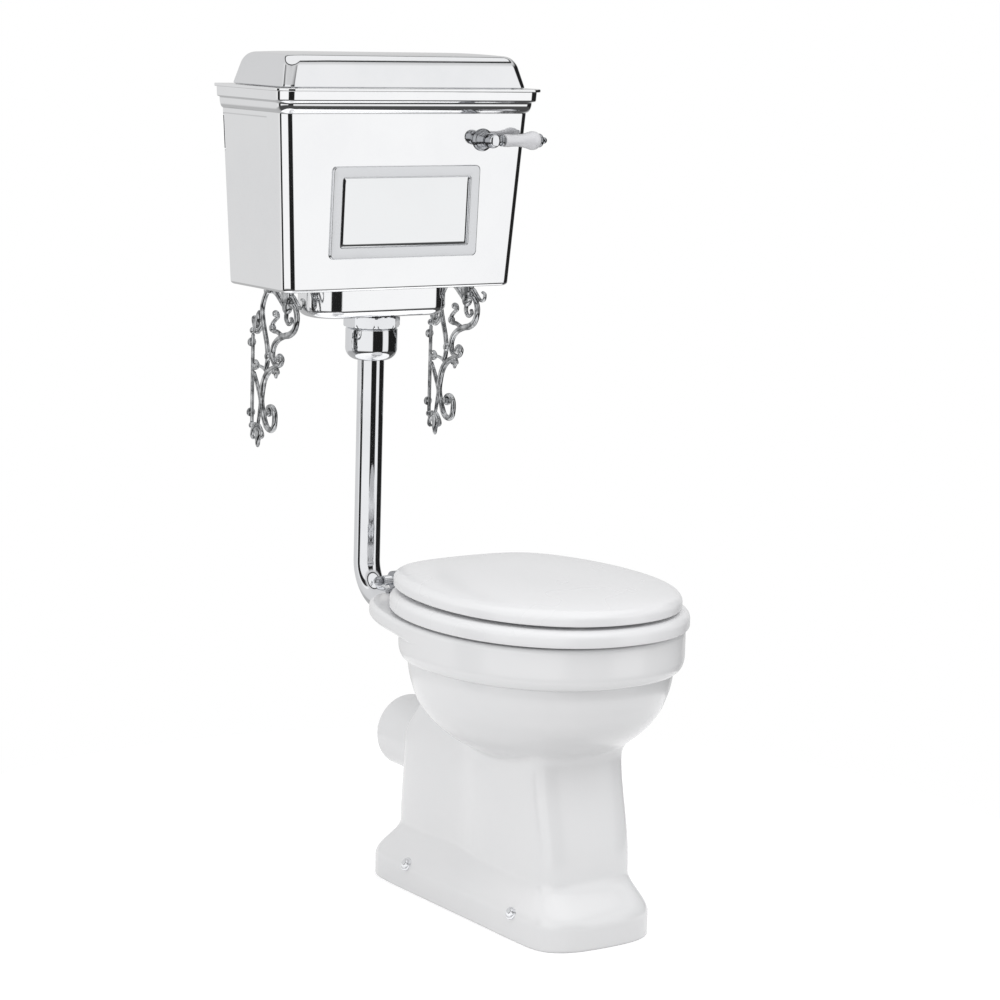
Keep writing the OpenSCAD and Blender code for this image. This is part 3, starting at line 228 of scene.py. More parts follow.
def slot_ring(half: Array, front: Array, back: Array, front_r: Array, back_r: Array, z: Array,
              corner: int = 14, side: int = 2, face: int = 2) -> Array:
    """Rounded oblongs seen from above, one for each row.

    Each corner is a quarter circle, and the straight sides between are shared out evenly.

    Args:
        half: Half the width of each oblong.
        front: The distance of its front from the wall.
        back: The distance of its back from the wall.
        front_r: The radius of its front corners.
        back_r: The radius of its back corners.
        z: Its height.
        corner: How many points a corner gets, less one.
        side: How many parts the left and right sides are cut into.
        face: How many parts the front and back are cut into.

    Returns:
        A grid of points, anticlockwise seen from above, one row for each oblong.
    """
    given = (half, front, back, front_r, back_r, z)
    rows = np.broadcast_arrays(*(np.atleast_1d(np.asarray(v, float)) for v in given))
    half, front, back, front_r, back_r, z = (v[:, None] for v in rows)
    quads = ((1, -1, front, front_r, -90), (1, 1, back, back_r, 0),
             (-1, 1, back, back_r, 90), (-1, -1, front, front_r, 180))
    a = np.linspace(0.0, math.pi / 2, corner + 1)[None, :]
    arcs = []
    for sx, sy, edge, r, start in quads:
        turn = a + math.radians(start)
        arcs.append(np.stack([sx * (half - r) + r * np.cos(turn), -edge - sy * r + r * np.sin(turn)], axis=-1))
    parts = []
    for k, arc in enumerate(arcs):
        parts.append(arc)
        after = arcs[(k + 1) % 4][:, :1]
        n = side if k % 2 == 0 else face
        t = (np.arange(1, n) / n)[None, :, None]
        parts.append(arc[:, -1:] * (1 - t) + after * t)
    flat = np.concatenate(parts, axis=1)
    return np.concatenate([flat, np.broadcast_to(z[..., None], flat.shape[:2] + (1,))], axis=-1)


@dataclass(frozen=True)
class Sheet:
    """A grid of points in millimetres from the wall.

    Columns close on themselves. Rows close on themselves where looped is set, and otherwise the first
    and the last row are each filled with a fan round their middle.
    """

    points: Array
    looped: bool = False

    def parts(self, base: int) -> tuple[Array, list[tuple[int, ...]]]:
        """Gives the vertices and faces of the grid.

        Args:
            base: The number of the grid's first vertex.

        Returns:
            The vertices, and the faces as tuples of vertex numbers.
        """
        rows, cols, _ = self.points.shape
        number = np.arange(rows * cols).reshape(rows, cols) + base
        nxt = np.roll(number, -1, axis=1)
        low = number if self.looped else number[:-1]
        up = np.roll(number, -1, axis=0) if self.looped else number[1:]
        low_n = nxt if self.looped else nxt[:-1]
        up_n = np.roll(nxt, -1, axis=0) if self.looped else nxt[1:]
        quads = np.stack([low, low_n, up_n, up], axis=-1).reshape(-1, 4)
        faces: list[tuple[int, ...]] = list(map(tuple, quads.tolist()))
        verts = self.points.reshape(-1, 3)
        if not self.looped:
            middle = base + rows * cols
            verts = np.vstack([verts, self.points[0].mean(0), self.points[-1].mean(0)])
            first = np.stack([np.full(cols, middle), nxt[0], number[0]], axis=-1)
            last = np.stack([np.full(cols, middle + 1), number[-1], nxt[-1]], axis=-1)
            faces += list(map(tuple, np.vstack([first, last]).tolist()))
        return verts, faces


# Finishes


def new_group(name: str, inputs: dict[str, float], outputs: dict[str, str]) -> bpy.types.ShaderNodeTree:
    """Makes an empty node group with its sockets.

    Args:
        name: The group's name.
        inputs: The name and first value of each number that goes in.
        outputs: The name and socket type of each thing that comes out.

    Returns:
        The group.
    """
    group = bpy.data.node_groups.new(name, "ShaderNodeTree")
    for key, value in inputs.items():
        socket = group.interface.new_socket(name=key, in_out="INPUT", socket_type="NodeSocketFloat")
        socket.default_value = value
    for key, kind in outputs.items():
        group.interface.new_socket(name=key, in_out="OUTPUT", socket_type=kind)
    return group


class Tree:
    """Short ways to place and join the nodes of one tree."""

    def __init__(self, tree: bpy.types.NodeTree) -> None:
        """Keeps the tree.

        Args:
            tree: The tree to work on.
        """
        self.tree = tree

    def node(self, kind: str, values: dict[str | int, object] | None = None, **settings: object) -> bpy.types.Node:
        """Places a node.

        Args:
            kind: The node's type.
            values: What each named or numbered input holds: a value, or an output to join.
            settings: The node's own settings.

        Returns:
            The node.
        """
        node = self.tree.nodes.new(kind)
        for key, value in settings.items():
            setattr(node, key, value)
        for key, value in (values or {}).items():
            socket = node.inputs[key]
            if isinstance(value, bpy.types.NodeSocket):
                self.tree.links.new(value, socket)
            else:
                socket.default_value = value
        return node

    def maths(self, operation: str, a: object, b: object = 0.0) -> bpy.types.NodeSocket:
        """Works out one sum of two numbers.

        Args:
            operation: The Math node's operation.
            a: The first number or output.
            b: The second number or output.

        Returns:
            The result.
        """
        return self.node("ShaderNodeMath", {0: a, 1: b}, operation=operation).outputs[0]

    def noise(self, where: object, scale: float, detail: float = 3.0, rough: float = 0.5) -> bpy.types.NodeSocket:
        """Places a noise.

        Args:
            where: The coordinates that it follows.
            scale: How many times it repeats in a metre.
            detail: How many finer layers it has.
            rough: How strong those layers are.

        Returns:
            The noise's value.
        """
        values = {"Vector": where, "Scale": scale, "Detail": detail, "Roughness": rough}
        return self.node("ShaderNodeTexNoise", values).outputs["Fac"]

    def fit(self, value: object, low: float, high: float, to_low: object, to_high: object) -> bpy.types.NodeSocket:
        """Spreads a range of values over another, and holds them inside it.

        Args:
            value: The output to spread.
            low: The lowest value that counts.
            high: The highest value that counts.
            to_low: What the lowest becomes.
            to_high: What the highest becomes.

        Returns:
            The spread value.
        """
        return self.node("ShaderNodeMapRange", {0: value, 1: low, 2: high, 3: to_low, 4: to_high}).outputs[0]

    def mix(self, share: object, a: object, b: object) -> bpy.types.NodeSocket:
        """Mixes two colours.

        Args:
            share: How much of the second colour there is.
            a: The first colour.
            b: The second colour.

        Returns:
            The mixed colour.
        """
        node = self.tree.nodes.new("ShaderNodeMix")
        node.data_type = "RGBA"
        for socket, value in ((node.inputs[0], share), (node.inputs[6], a), (node.inputs[7], b)):
            if isinstance(value, bpy.types.NodeSocket):
                self.tree.links.new(value, socket)
            else:
                socket.default_value = value
        return node.outputs[2]

    def here(self) -> bpy.types.NodeSocket:
        """Gives the object's own coordinates, in metres."""
        return self.node("ShaderNodeTexCoord").outputs["Object"]


def empty_tree(owner: bpy.types.Material | bpy.types.World) -> Tree:
    """Switches a material or a world over to nodes.

    Args:
        owner: The material or world.

    Returns:
        Its tree, with no nodes in it.
    """
    owner.use_nodes = True
    owner.node_tree.nodes.clear()
    return Tree(owner.node_tree)


def add_object(name: str, data: bpy.types.ID) -> bpy.types.Object:
    """Makes an object and links it to the scene.

    Args:
        name: The object's name.
        data: Its mesh, camera or lamp.

    Returns:
        The object.
    """
    made = bpy.data.objects.new(name, data)
    bpy.context.scene.collection.objects.link(made)
    return made


class Effect(Enum):
    """The surface effects that several finishes share."""

    GLAZE = "glaze depth"
    HANDLED = "handled metal"
    CAST = "cast skin and painted reflection mask"
    MOULDED = "moulded skin"


def effect_group(effect: Effect) -> bpy.types.ShaderNodeTree:
    """Builds the node group of one effect, or finds it where it has been built.

    Args:
        effect: Which effect.

    Returns:
        The group, whose outputs are a mask from 0 to 1 and a height.
    """
    if effect.value in bpy.data.node_groups:
        return bpy.data.node_groups[effect.value]
    group = new_group(effect.value, {"Scale": 1.0}, {"Mask": "NodeSocketFloat", "Height": "NodeSocketFloat"})
    tree = Tree(group)
    scale = group.nodes.new("NodeGroupInput").outputs["Scale"]
    where = tree.node("ShaderNodeVectorMath", {0: tree.here(), "Scale": scale}, operation="SCALE").outputs[0]
    if effect is Effect.GLAZE:
        pool = tree.noise(where, 9.0, 2.0)
        ripple = tree.noise(where, 46.0, 2.0, 0.4)
        mask = tree.fit(pool, 0.3, 0.7, 0.0, 1.0)
        height = tree.maths("ADD", tree.maths("MULTIPLY", pool, 0.7), tree.maths("MULTIPLY", ripple, 0.3))
    elif effect is Effect.HANDLED:
        smear = tree.noise(where, 14.0, 4.0, 0.6)
        grit = tree.noise(where, 260.0, 3.0, 0.55)
        mask = tree.maths("MULTIPLY", tree.fit(smear, 0.42, 0.68, 0.0, 1.0), tree.fit(grit, 0.2, 0.8, 0.6, 1.0))
        height = tree.noise(where, 24.0, 2.0, 0.3)
    elif effect is Effect.CAST:
        # The mask steers the bracket's drift to near black, which is painted dark reflection; the height is the cast
        # skin's relief.
        lumps = tree.noise(where, 150.0, 4.0, 0.55)
        pits = tree.noise(where, 620.0, 3.0, 0.6)
        mask = tree.fit(lumps, 0.38, 0.66, 0.0, 1.0)
        height = tree.maths("ADD", tree.maths("MULTIPLY", lumps, 0.65), tree.maths("MULTIPLY", pits, 0.35))
    else:
        clouds = tree.noise(where, 30.0, 3.0)
        stipple = tree.noise(where, 900.0, 2.0, 0.5)
        mask = tree.fit(clouds, 0.35, 0.7, 0.0, 1.0)
        height = stipple
    end = group.nodes.new("NodeGroupOutput")
    group.links.new(mask, end.inputs["Mask"])
    group.links.new(height, end.inputs["Height"])
    return group


@dataclass(frozen=True)
class Finish:
    """A finish: a colour that drifts to a second one, a roughness that drifts too, and a fine relief."""

    name: str
    slot: str
    colour: tuple[float, float, float]
    drift: tuple[float, float, float]
    rough: tuple[float, float]
    effect: Effect
    metallic: float = 0.0
    scale: float = 1.0
    relief: float = 0.05
    relief_depth: float = 0.0004
    coat: float = 0.0
    subsurface: float = 0.0

    def material(self) -> bpy.types.Material:
        """Builds the material, or finds it where it has been built.

        Returns:
            The material.
        """
        if self.name in bpy.data.materials:
            return bpy.data.materials[self.name]
        material = bpy.data.materials.new(self.name)
        tree = empty_tree(material)
        effect = tree.node("ShaderNodeGroup", node_tree=effect_group(self.effect))
        effect.inputs["Scale"].default_value = self.scale
        mask, height = effect.outputs["Mask"], effect.outputs["Height"]
        bump = tree.node("ShaderNodeBump", {"Strength": self.relief, "Distance": self.relief_depth, "Height": height})
        shader = tree.node("ShaderNodeBsdfPrincipled", {
            "Base Color": tree.mix(mask, (*self.colour, 1.0), (*self.drift, 1.0)),
            "Roughness": tree.fit(mask, 0.0, 1.0, self.rough[0], self.rough[1]),
            "Normal": bump.outputs["Normal"],
            "Metallic": self.metallic,
            "Coat Weight": self.coat,
            "Coat Roughness": COAT_ROUGH,
            "Subsurface Weight": self.subsurface,
            "Subsurface Scale": SUBSURFACE_REACH,
        })
        tree.node("ShaderNodeOutputMaterial", {"Surface": shader.outputs[0]})
        return material


CHINA = Finish("white_glaze", "china", (0.80, 0.80, 0.805), (0.785, 0.788, 0.795), (0.20, 0.24), Effect.GLAZE,
               relief=0.06, relief_depth=0.0004, coat=0.25)
# A darker grey copy of the white china for the lever grip: its lower colour is painted shade.
GRIP_CHINA_PAINTED_SHADE = Finish("grip_glaze_painted_shade", "china", (0.64, 0.64, 0.66), (0.61, 0.615, 0.63), (0.18, 0.22), Effect.GLAZE,
                    relief=0.05, relief_depth=0.0003, coat=0.3)
SEAT_PAINT = Finish("gloss_white_paint", "seat_white", (0.80, 0.80, 0.81), (0.79, 0.792, 0.80), (0.24, 0.28),
                    Effect.GLAZE, relief=0.02, coat=0.25)
CHROME = Finish("polished_chrome", "chrome", (0.83, 0.84, 0.86), (0.78, 0.79, 0.81), (0.03, 0.09),
                Effect.HANDLED, metallic=1.0, relief=0.03, relief_depth=0.0002)
TANK_METAL = Finish("polished_plate_metal", "cistern_metal", (0.92, 0.925, 0.935), (0.89, 0.895, 0.91), (0.04, 0.09),
                    Effect.HANDLED, metallic=1.0, scale=0.6, relief=0.10, relief_depth=0.0008)
# A darker copy of the chrome: its low base colour is painted dark reflection, not a different metal.
CHROME_PAINTED_DARK = Finish("chrome_painted_dark_reflection", "chrome", (0.40, 0.41, 0.43), (0.34, 0.35, 0.37), (0.02, 0.06),
                     Effect.HANDLED, metallic=1.0, relief=0.03, relief_depth=0.0002)
# A darker copy of the cistern metal for the lid: its lower colour is painted shade for the lid's grey.
CAP_METAL_PAINTED_SHADE = Finish("lid_metal_painted_shade", "cistern_metal", (0.84, 0.845, 0.86), (0.80, 0.81, 0.825), (0.05, 0.11),
                   Effect.HANDLED, metallic=1.0, scale=0.6, relief=0.10, relief_depth=0.0008)
PLATE_SATIN = Finish("satin_cast_plate", "satin_plate", (0.72, 0.73, 0.75), (0.80, 0.81, 0.83), (0.20, 0.28),
                     Effect.HANDLED, metallic=1.0, scale=1.6, relief=0.06, relief_depth=0.0002)
PLATE_BRIGHT = Finish("bright_plate", "polished_plate", (0.86, 0.87, 0.88), (0.84, 0.85, 0.86), (0.06, 0.10),
                      Effect.HANDLED, metallic=1.0, scale=0.5, relief=0.02, relief_depth=0.0002)
# Bracket casting: the noisy drift from bright metal to near black is painted dark reflection.
CASTING_PAINTED_DARK = Finish("casting_painted_dark_reflections", "bracket_metal", (0.62, 0.63, 0.64), (0.15, 0.155, 0.16), (0.04, 0.10),
                      Effect.CAST, metallic=1.0, scale=0.7, relief=0.12, relief_depth=0.0004)
BRASS = Finish("machined_brass", "brass", (0.68, 0.50, 0.22), (0.55, 0.39, 0.17), (0.18, 0.34),
               Effect.HANDLED, metallic=1.0, scale=2.0, relief=0.06)
SIPHON_PLASTIC = Finish("ivory_moulding", "siphon_plastic", (0.72, 0.70, 0.64), (0.66, 0.64, 0.58), (0.36, 0.48),
                        Effect.MOULDED, relief=0.15, relief_depth=0.0001, subsurface=0.05)
BLACK_RUBBER = Finish("black_rubber", "rubber_black", (0.025, 0.025, 0.027), (0.05, 0.05, 0.052), (0.55, 0.72),
                      Effect.MOULDED, relief=0.3, relief_depth=0.0002)
PALE_RUBBER = Finish("pale_rubber", "rubber_white", (0.60, 0.60, 0.585), (0.54, 0.54, 0.52), (0.48, 0.62),
                     Effect.MOULDED, relief=0.25, relief_depth=0.0002)
BUFFER_WHITE = Finish("white_buffer", "buffer_white", (0.70, 0.70, 0.68), (0.64, 0.64, 0.62), (0.42, 0.55),
                      Effect.MOULDED, relief=0.2, relief_depth=0.0002)


def place(points: Array) -> Array:
    """Turns millimetres from the wall into the model's frame in metres: y shifts by the wall's place."""
    return points * MM + np.array([0.0, WALL_Y, 0.0])


def make_piece(name: str, sheets: Sequence[Sheet], finish: Finish, body: str = ROOT,
               replaces: Sequence[str] = (), sharp: float = 180.0) -> bpy.types.Object:
    """Makes one piece from its sheets, closes its seams and poles, and hangs it on its body.

    Args:
        name: The piece's name.
        sheets: Its surfaces.
        finish: Its finish.
        body: The body that it moves with.
        replaces: The nodes that it stands for.
        sharp: Edges that turn by more than this many degrees stay crisp.

    Returns:
        The piece.
    """
    verts: list[Array] = []
    faces: list[tuple[int, ...]] = []
    count = 0
    for sheet in sheets:
        part, part_faces = sheet.parts(count)
        verts.append(part)
        faces += part_faces
        count += len(part)
    mesh = bpy.data.meshes.new(name)
    mesh.from_pydata(place(np.vstack(verts)).tolist(), [], faces)
    work = bmesh.new()
    work.from_mesh(mesh)
    bmesh.ops.remove_doubles(work, verts=work.verts, dist=2e-6)
    bmesh.ops.dissolve_degenerate(work, edges=work.edges, dist=1e-7)
    bmesh.ops.recalc_face_normals(work, faces=work.faces)
    work.to_mesh(mesh)
    work.free()
    mesh.shade_smooth()
    if sharp < 180.0:
        mesh.set_sharp_from_angle(angle=math.radians(sharp))
    piece = add_object(name, mesh)
    mesh.materials.append(finish.material())
    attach(piece, body)
    if replaces:
        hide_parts(*replaces)
    log.info("made %s: %d vertices on %s", name, len(mesh.vertices), body)
    return piece


# Pan


@dataclass
class Pan:
    """The china pan: a lofted skin from the foot up over the rim and down inside the bowl."""

    height: float = 405.0
    side: float = 182.0
    middle: float = 500.0
    nose: float = 216.0
    tail: float = 175.0
    band: float = 50.0
    deck: float = 21.0
    deck_round: float = 7.0
    bowl: float = 135.0
    wall: float = 13.0
    column_wall: float = 11.0
    column_w: float = 146.0
    foot_w: float = 184.0
    plinth: float = 33.0
    flare: float = 50.0
    outlet_r: float = 51.0
    outlet_bore: float = 44.0
    outlet_z: float = 185.0
    outlet_end: float = 196.0
    horn_r: float = 28.0
    horn_bore: float = 22.0
    horn_end: float = 238.0
    horn_drop: float = 44.0
    belly_inset: float = 13.0
    deck_long: float = 300.0
    deck_cut: float = 262.0
    mouth_depth: float = 26.0
    nose_power: float = 2.15
    deck_crisp: int = 12
    column_crisp: int = 15
    column_front: float = 68.0
    lean: float = 24.0
    under_deck: float = 56.0
    toe: float = 38.0
    heel: float = 30.0
    corner_cut: float = 10.0
    foot_cut: float = 18.0
    waist: float = 0.11
    waist_at: float = 80.0
    waist_reach: float = 62.0
    fillet: float = 9.0
    fillet_more: float = 14.0
    columns: int = 240
    u: Array = field(init=False)

    def __post_init__(self) -> None:
        """Works out the headings: closer together towards the sides, where the rim curves most."""
        t = circle_angles(self.columns)
        v = np.column_stack([0.66 * np.sin(t), -np.cos(t)])
        self.u = v / np.linalg.norm(v, axis=1, keepdims=True)
        self.band_z = self.height - self.band - 5.0
        self.deck_back = self.middle - self.deck_cut

    def egg(self, side: Array, nose: Array, tail: Array, back: Array, crisp: float) -> Array:
        """Radius of an egg cut off at the back.

        The egg is two half ellipses. The cut is a straight line, and the two are joined by a power
        mean, whose power says how crisp the corner is.

        Args:
            side: Half the width.
            nose: The length in front of the middle.
            tail: The length behind the middle, before the cut.
            back: The distance of the cut from the middle.
            crisp: The power.

        Returns:
            One radius for each heading.
        """
        p = np.maximum(0.0, self.u[:, 1]) / back
        return (self.ellipse_pair(side, nose, tail) ** -crisp + p**crisp) ** (-1.0 / crisp)

    def ellipse_pair(self, side: Array, nose: Array, tail: Array) -> Array:
        """Radius of the whole egg: one ellipse behind the middle and a slightly squarer one in front.

        Args:
            side: Half the width.
            nose: The length in front of the middle.
            tail: The length behind the middle.

        Returns:
            One radius for each heading.
        """
        ux, uy = np.abs(self.u[:, 0]), self.u[:, 1]
        power = np.where(uy < 0, self.nose_power, 2.0)
        return ((ux / side) ** power + np.where(uy < 0, -uy / nose, uy / tail) ** power) ** (-1.0 / power)

    def column(self, z: Array, inset: float) -> Array:
        """Radius of the column: an oblong with its four corners cut off, whose sides spread to the foot.

        The sides, front, back and cuts are joined by a power mean, and the side draws in to a waist
        behind the bowl.

        Args:
            z: The height of each row.
            inset: How far inside the outer face the row lies.

        Returns:
            A row of radii for each height.
        """
        ux, uy = self.u[None, :, 0], self.u[None, :, 1]
        z = np.asarray(z, float)[:, None]
        foot = 1.0 - ramp(self.plinth - 3, self.plinth + self.flare, z)
        spread = (self.foot_w - self.column_w) / 2
        side = self.column_w / 2 + spread * foot - inset
        rear = self.column_w / 2 - 5 + (spread + 5) * foot - inset
        x = np.abs(ux)
        behind = self.column_w / 2 * uy / np.maximum(x, 0.02)
        drawn = self.waist * (1 - foot) * np.exp(-(((behind - self.waist_at) / self.waist_reach) ** 2))
        width = (side + (rear - side) * ramp(30, 130, behind)) * (1 - drawn)
        front = self.nose - self.column_front - self.lean * ramp(95, 240, z) + self.toe * foot - inset
        back = self.deck_back - self.under_deck * ramp(200, 285, z) - 6 * ramp(90, 200, z) + self.heel * foot - inset
        q = self.column_crisp
        total = (
            (x / width) ** q
            + (np.maximum(0, -uy) / front) ** q
            + (np.maximum(0, uy) / back) ** q
            + (np.maximum(0, x - uy) / (width - self.corner_cut - self.foot_cut * foot + front)) ** q
            + (np.maximum(0, x + uy) / (width - self.corner_cut + back)) ** q
        )
        return total ** (-1.0 / q)

    def bowl_share(self, z: Array, depth: float) -> Array:
        """Share of the full width at each height under the band: a quarter circle seen from the side."""
        t = np.clip((self.band_z - np.asarray(z, float)) / depth, 0.0, 1.0)
        return np.sqrt(np.maximum(0.0, 1 - t * t))

    def outside(self, z: Array) -> Array:
        """Radius of the outer face: the bowl and the column, whichever is wider, with a soft fillet.

        Args:
            z: The height of each row.

        Returns:
            A row of radii for each height.
        """
        z = np.asarray(z, float)
        s = self.bowl_share(z, self.bowl) * (self.side - self.belly_inset) / self.side
        belly = np.array([self.ellipse_pair(*(max(k, 0.02) * np.array([self.side, self.nose, self.tail]))) for k in s])
        column = self.column(z, 0.0)
        soft = self.fillet + self.fillet_more * ramp(225, 285, z)[:, None]
        joined = (belly + column + np.sqrt((belly - column) ** 2 + soft**2)) / 2
        share = ramp(self.band_z - 60, self.band_z - 35, z)[:, None]
        return joined * (1 - share) + belly * share

    def ring(self, z: float | Array, radius: Array) -> Array:
        """Points at a height and a radius from the middle of the rim, for one row or many.

        Args:
            z: The height of each row.
            radius: The radius at each heading.

        Returns:
            A grid of points, one row for each height.
        """
        radius = np.atleast_2d(radius)
        flat = radius[..., None] * self.u[None, :, :]
        z = np.broadcast_to(np.asarray(z, float).reshape(-1, 1), radius.shape)
        return np.stack([flat[..., 0], flat[..., 1] - self.middle, z], axis=-1)

    def deck_edge(self, inset: float) -> Array:
        """Radius of the deck's edge, which follows the rim and is cut off straight behind."""
        return self.egg(self.side - inset, self.nose - inset, self.deck_long - inset, self.deck_back - inset,
                        self.deck_crisp)

    def rim_edge(self, inset: float) -> Array:
        """Radius of the band's face."""
        return self.ellipse_pair(self.side - inset, self.nose - inset, self.tail - inset)

    def skin(self) -> Sheet:
        """Lofts the whole skin: inside of the foot, outer face, band, deck, mouth, bowl and trap."""
        top = self.height
        rows = [self.ring(z, self.column(np.array([max(z, 96.0)]), self.column_wall)) for z in (178, 165, 120, 60, 4)]
        rows += [self.ring(r, self.outside(np.array([r])) - i) for i, r in undercut(3.0, 3.0, 4)]
        z = np.concatenate([np.arange(5.0, 110.0, 2.5), np.arange(110.0, self.band_z - 2, 4.0), [self.band_z - 1]])
        rows.append(self.ring(z, self.outside(z)))
        rows += [self.ring(self.band_z + 0.5 + up, self.rim_edge(i)) for i, up in undercut(10.0, 19.0, 10)]
        low = top - self.deck
        edge = self.deck_edge(0.0)
        rim = self.rim_edge(0.0)
        widen = np.clip(edge - rim, 0, None)
        lip = self.deck_round * ramp(0.0, 2.2 * self.deck_round, widen)
        for a in np.linspace(0.0, math.pi / 2, 7):
            radius = rim + (widen - lip) * (1 - math.cos(a))
            rows.append(self.ring(low - 4.0 + 4.0 * math.sin(a), radius))
        for i, up in undercut(1.0, self.deck_round, 6)[1:]:
            rows.append(self.ring(low + up, edge - lip * i))
        rows.append(self.ring(top - 7.0, edge))
        rows += [self.ring(top - 6.0 + up, self.deck_edge(i)) for i, up in quarter(6.0, 6.0, 6)]
        mouth = np.array([self.side - 50.0, self.nose - 47.0, self.tail - 45.0])
        deck_in = self.deck_edge(6.0)
        mouth_out = self.ellipse_pair(*(mouth + 6.0))
        rows += [self.ring(top, deck_in * (1 - t) + mouth_out * t) for t in (0.1, 0.4, 0.7, 0.95)]
        rows += [self.ring(top - down, self.ellipse_pair(*(mouth + 6.0 - i))) for i, down in
                 6.0 - quarter(6.0, 6.0, 5)[::-1, ::-1]]
        floor_z = top - self.mouth_depth
        for grow, z1 in ((-1.5, floor_z + 3), (-2, floor_z + 1), (-1, floor_z), (4, floor_z), (6, floor_z + 2),
                         (8, top - 14), (12, top - 12), (17, top - 14)):
            rows.append(self.ring(z1, self.ellipse_pair(*(mouth + grow))))
        k = (self.side - self.belly_inset) / self.side
        size = np.array([self.side, self.nose, self.tail]) * k - self.wall
        deep = self.bowl - self.wall - 1
        inner_z = self.band_z - deep * np.sin(np.linspace(-0.06, 1.3, 26))
        share = self.bowl_share(inner_z, deep)
        rows += [self.ring(z1, self.ellipse_pair(*(size * s))) for z1, s in zip(inner_z, share)]
        return Sheet(np.concatenate(rows + [self.trap()], axis=0))

    def trap(self) -> Array:
        """Rings down into the trap: circles square to a path that drops and then turns back and up."""
        r, bend, y0 = 38.0, 48.0, 17.0 - self.middle
        a = np.radians(np.arange(0, 121, 15))
        path = np.vstack([[[y0, 219.0], [y0, 190.0], [y0, 165.0]],
                          np.column_stack([y0 + bend * (1 - np.cos(a)), 150 - bend * np.sin(a)])])
        step = headings(path)
        t = circle_angles(self.columns)[None, :]
        x = np.broadcast_to(r * np.sin(t), (len(path), self.columns))
        y = path[:, :1] + r * np.cos(t) * step[:, 1:]
        z = path[:, 1:] - r * np.cos(t) * step[:, :1]
        return np.stack([x, y, z], axis=-1)

    def back_face(self, x: Array, z: Array) -> Array:
        """Finds the outer face behind the bowl at given places by halving.

        Args:
            x: Places across.
            z: Heights.

        Returns:
            How far behind the middle of the rim the face lies.
        """
        low, high = np.zeros_like(x), np.full_like(x, 400.0)
        turn = np.arctan2(self.u[:, 0], self.u[:, 1])
        order = np.argsort(turn)
        table = self.outside(z)
        for _ in range(30):
            y = (low + high) / 2
            here = np.arctan2(x, y)
            limit = np.array([np.interp(h, turn[order], row[order]) for h, row in zip(here, table)])
            inside = np.hypot(x, y) < limit
            low, high = np.where(inside, y, low), np.where(inside, high, y)
        return (low + high) / 2

    def spigot(self) -> Sheet:
        """The soil outlet: a tube that leaves the back of the column with a soft fillet round its root.

        The fillet runs from a circle on the tube to the same circle grown by the fillet's size and laid
        on the column, with a quarter ellipse between.
        """
        a = circle_angles(96)
        size, reach = 11.0, 13.0
        root_x = (self.outlet_r + size) * np.sin(a)
        root_z = self.outlet_z + (self.outlet_r + size) * np.cos(a)
        root_y = self.back_face(root_x, root_z) - self.middle - 1.2
        rows = []
        for t in np.linspace(0.0, 1.0, 9):
            q = t * math.pi / 2
            share = math.sin(q)
            r = self.outlet_r + size * (1 - share)
            y = root_y * math.cos(q) + (np.maximum(root_y + reach, root_y.mean() + reach)) * (1 - math.cos(q))
            rows.append(np.stack([r * np.sin(a), y, self.outlet_z + r * np.cos(a)], axis=-1))
        outer = rounded([(self.outlet_r, -self.outlet_end - 20), (self.outlet_r, -self.outlet_end),
                         (self.outlet_bore, -self.outlet_end), (self.outlet_bore, -self.outlet_end - 60),
                         (0.0, -self.outlet_end - 60)], 3.0)
        for r, y in outer:
            rows.append(np.stack([r * np.sin(a), np.full_like(a, y), self.outlet_z + r * np.cos(a)], axis=-1))
        return Sheet(np.array(rows))

    def horn(self) -> Sheet:
        """The flushing horn: a short tube under the deck with a rounded end and a spreading root."""
        z = self.height - self.horn_drop
        profile = rounded([(0.0, -355.0), (self.horn_r + 12, -355.0), (self.horn_r + 10, -276.0), (self.horn_r, -262.0),
                           (self.horn_r, -self.horn_end), (self.horn_bore, -self.horn_end),
                           (self.horn_bore, -self.horn_end - 50), (0.0, -self.horn_end - 50)],
                          [0, 4, 14, 8, 4, 3, 2, 0])
        return Sheet(turned(profile, (0, 0, z), (0, 1, 0), 72))

    def screw_caps(self) -> None:
        """Makes the four caps over the floor screws: a thin washer and a dome, square to the spreading foot."""
        profile = rounded([(0, -2), (9.5, -2), (9.5, 0.8), (8.6, 1.6), (6.6, 1.6), (6.4, 3.4), (4.4, 5.4), (0, 6.2)],
                          [0, 0.4, 0.5, 0.4, 0.3, 1, 1.5, 0])
        z = self.plinth + 4.5
        foot = 1.0 - float(ramp(self.plinth - 3, self.plinth + self.flare, np.array(z)))
        x = (self.column_w + (self.foot_w - self.column_w) * foot) / 2
        tilt = math.radians(56.0)
        caps = [Sheet(turned(profile, (side * x, -y, z), (side * math.sin(tilt), 0, math.cos(tilt)), 48))
                for side in (-1, 1) for y in (342.0, 595.0)]
        make_piece("floor_caps_domed", caps, CHROME, replaces=["floor_screw_caps"], sharp=50)

    def build(self) -> None:
        """Makes the pan and the caps on its foot."""
        make_piece("pan_china", [self.skin(), self.spigot(), self.horn()], CHINA, replaces=["pan"], sharp=50)
        self.screw_caps()


# Seat and lid


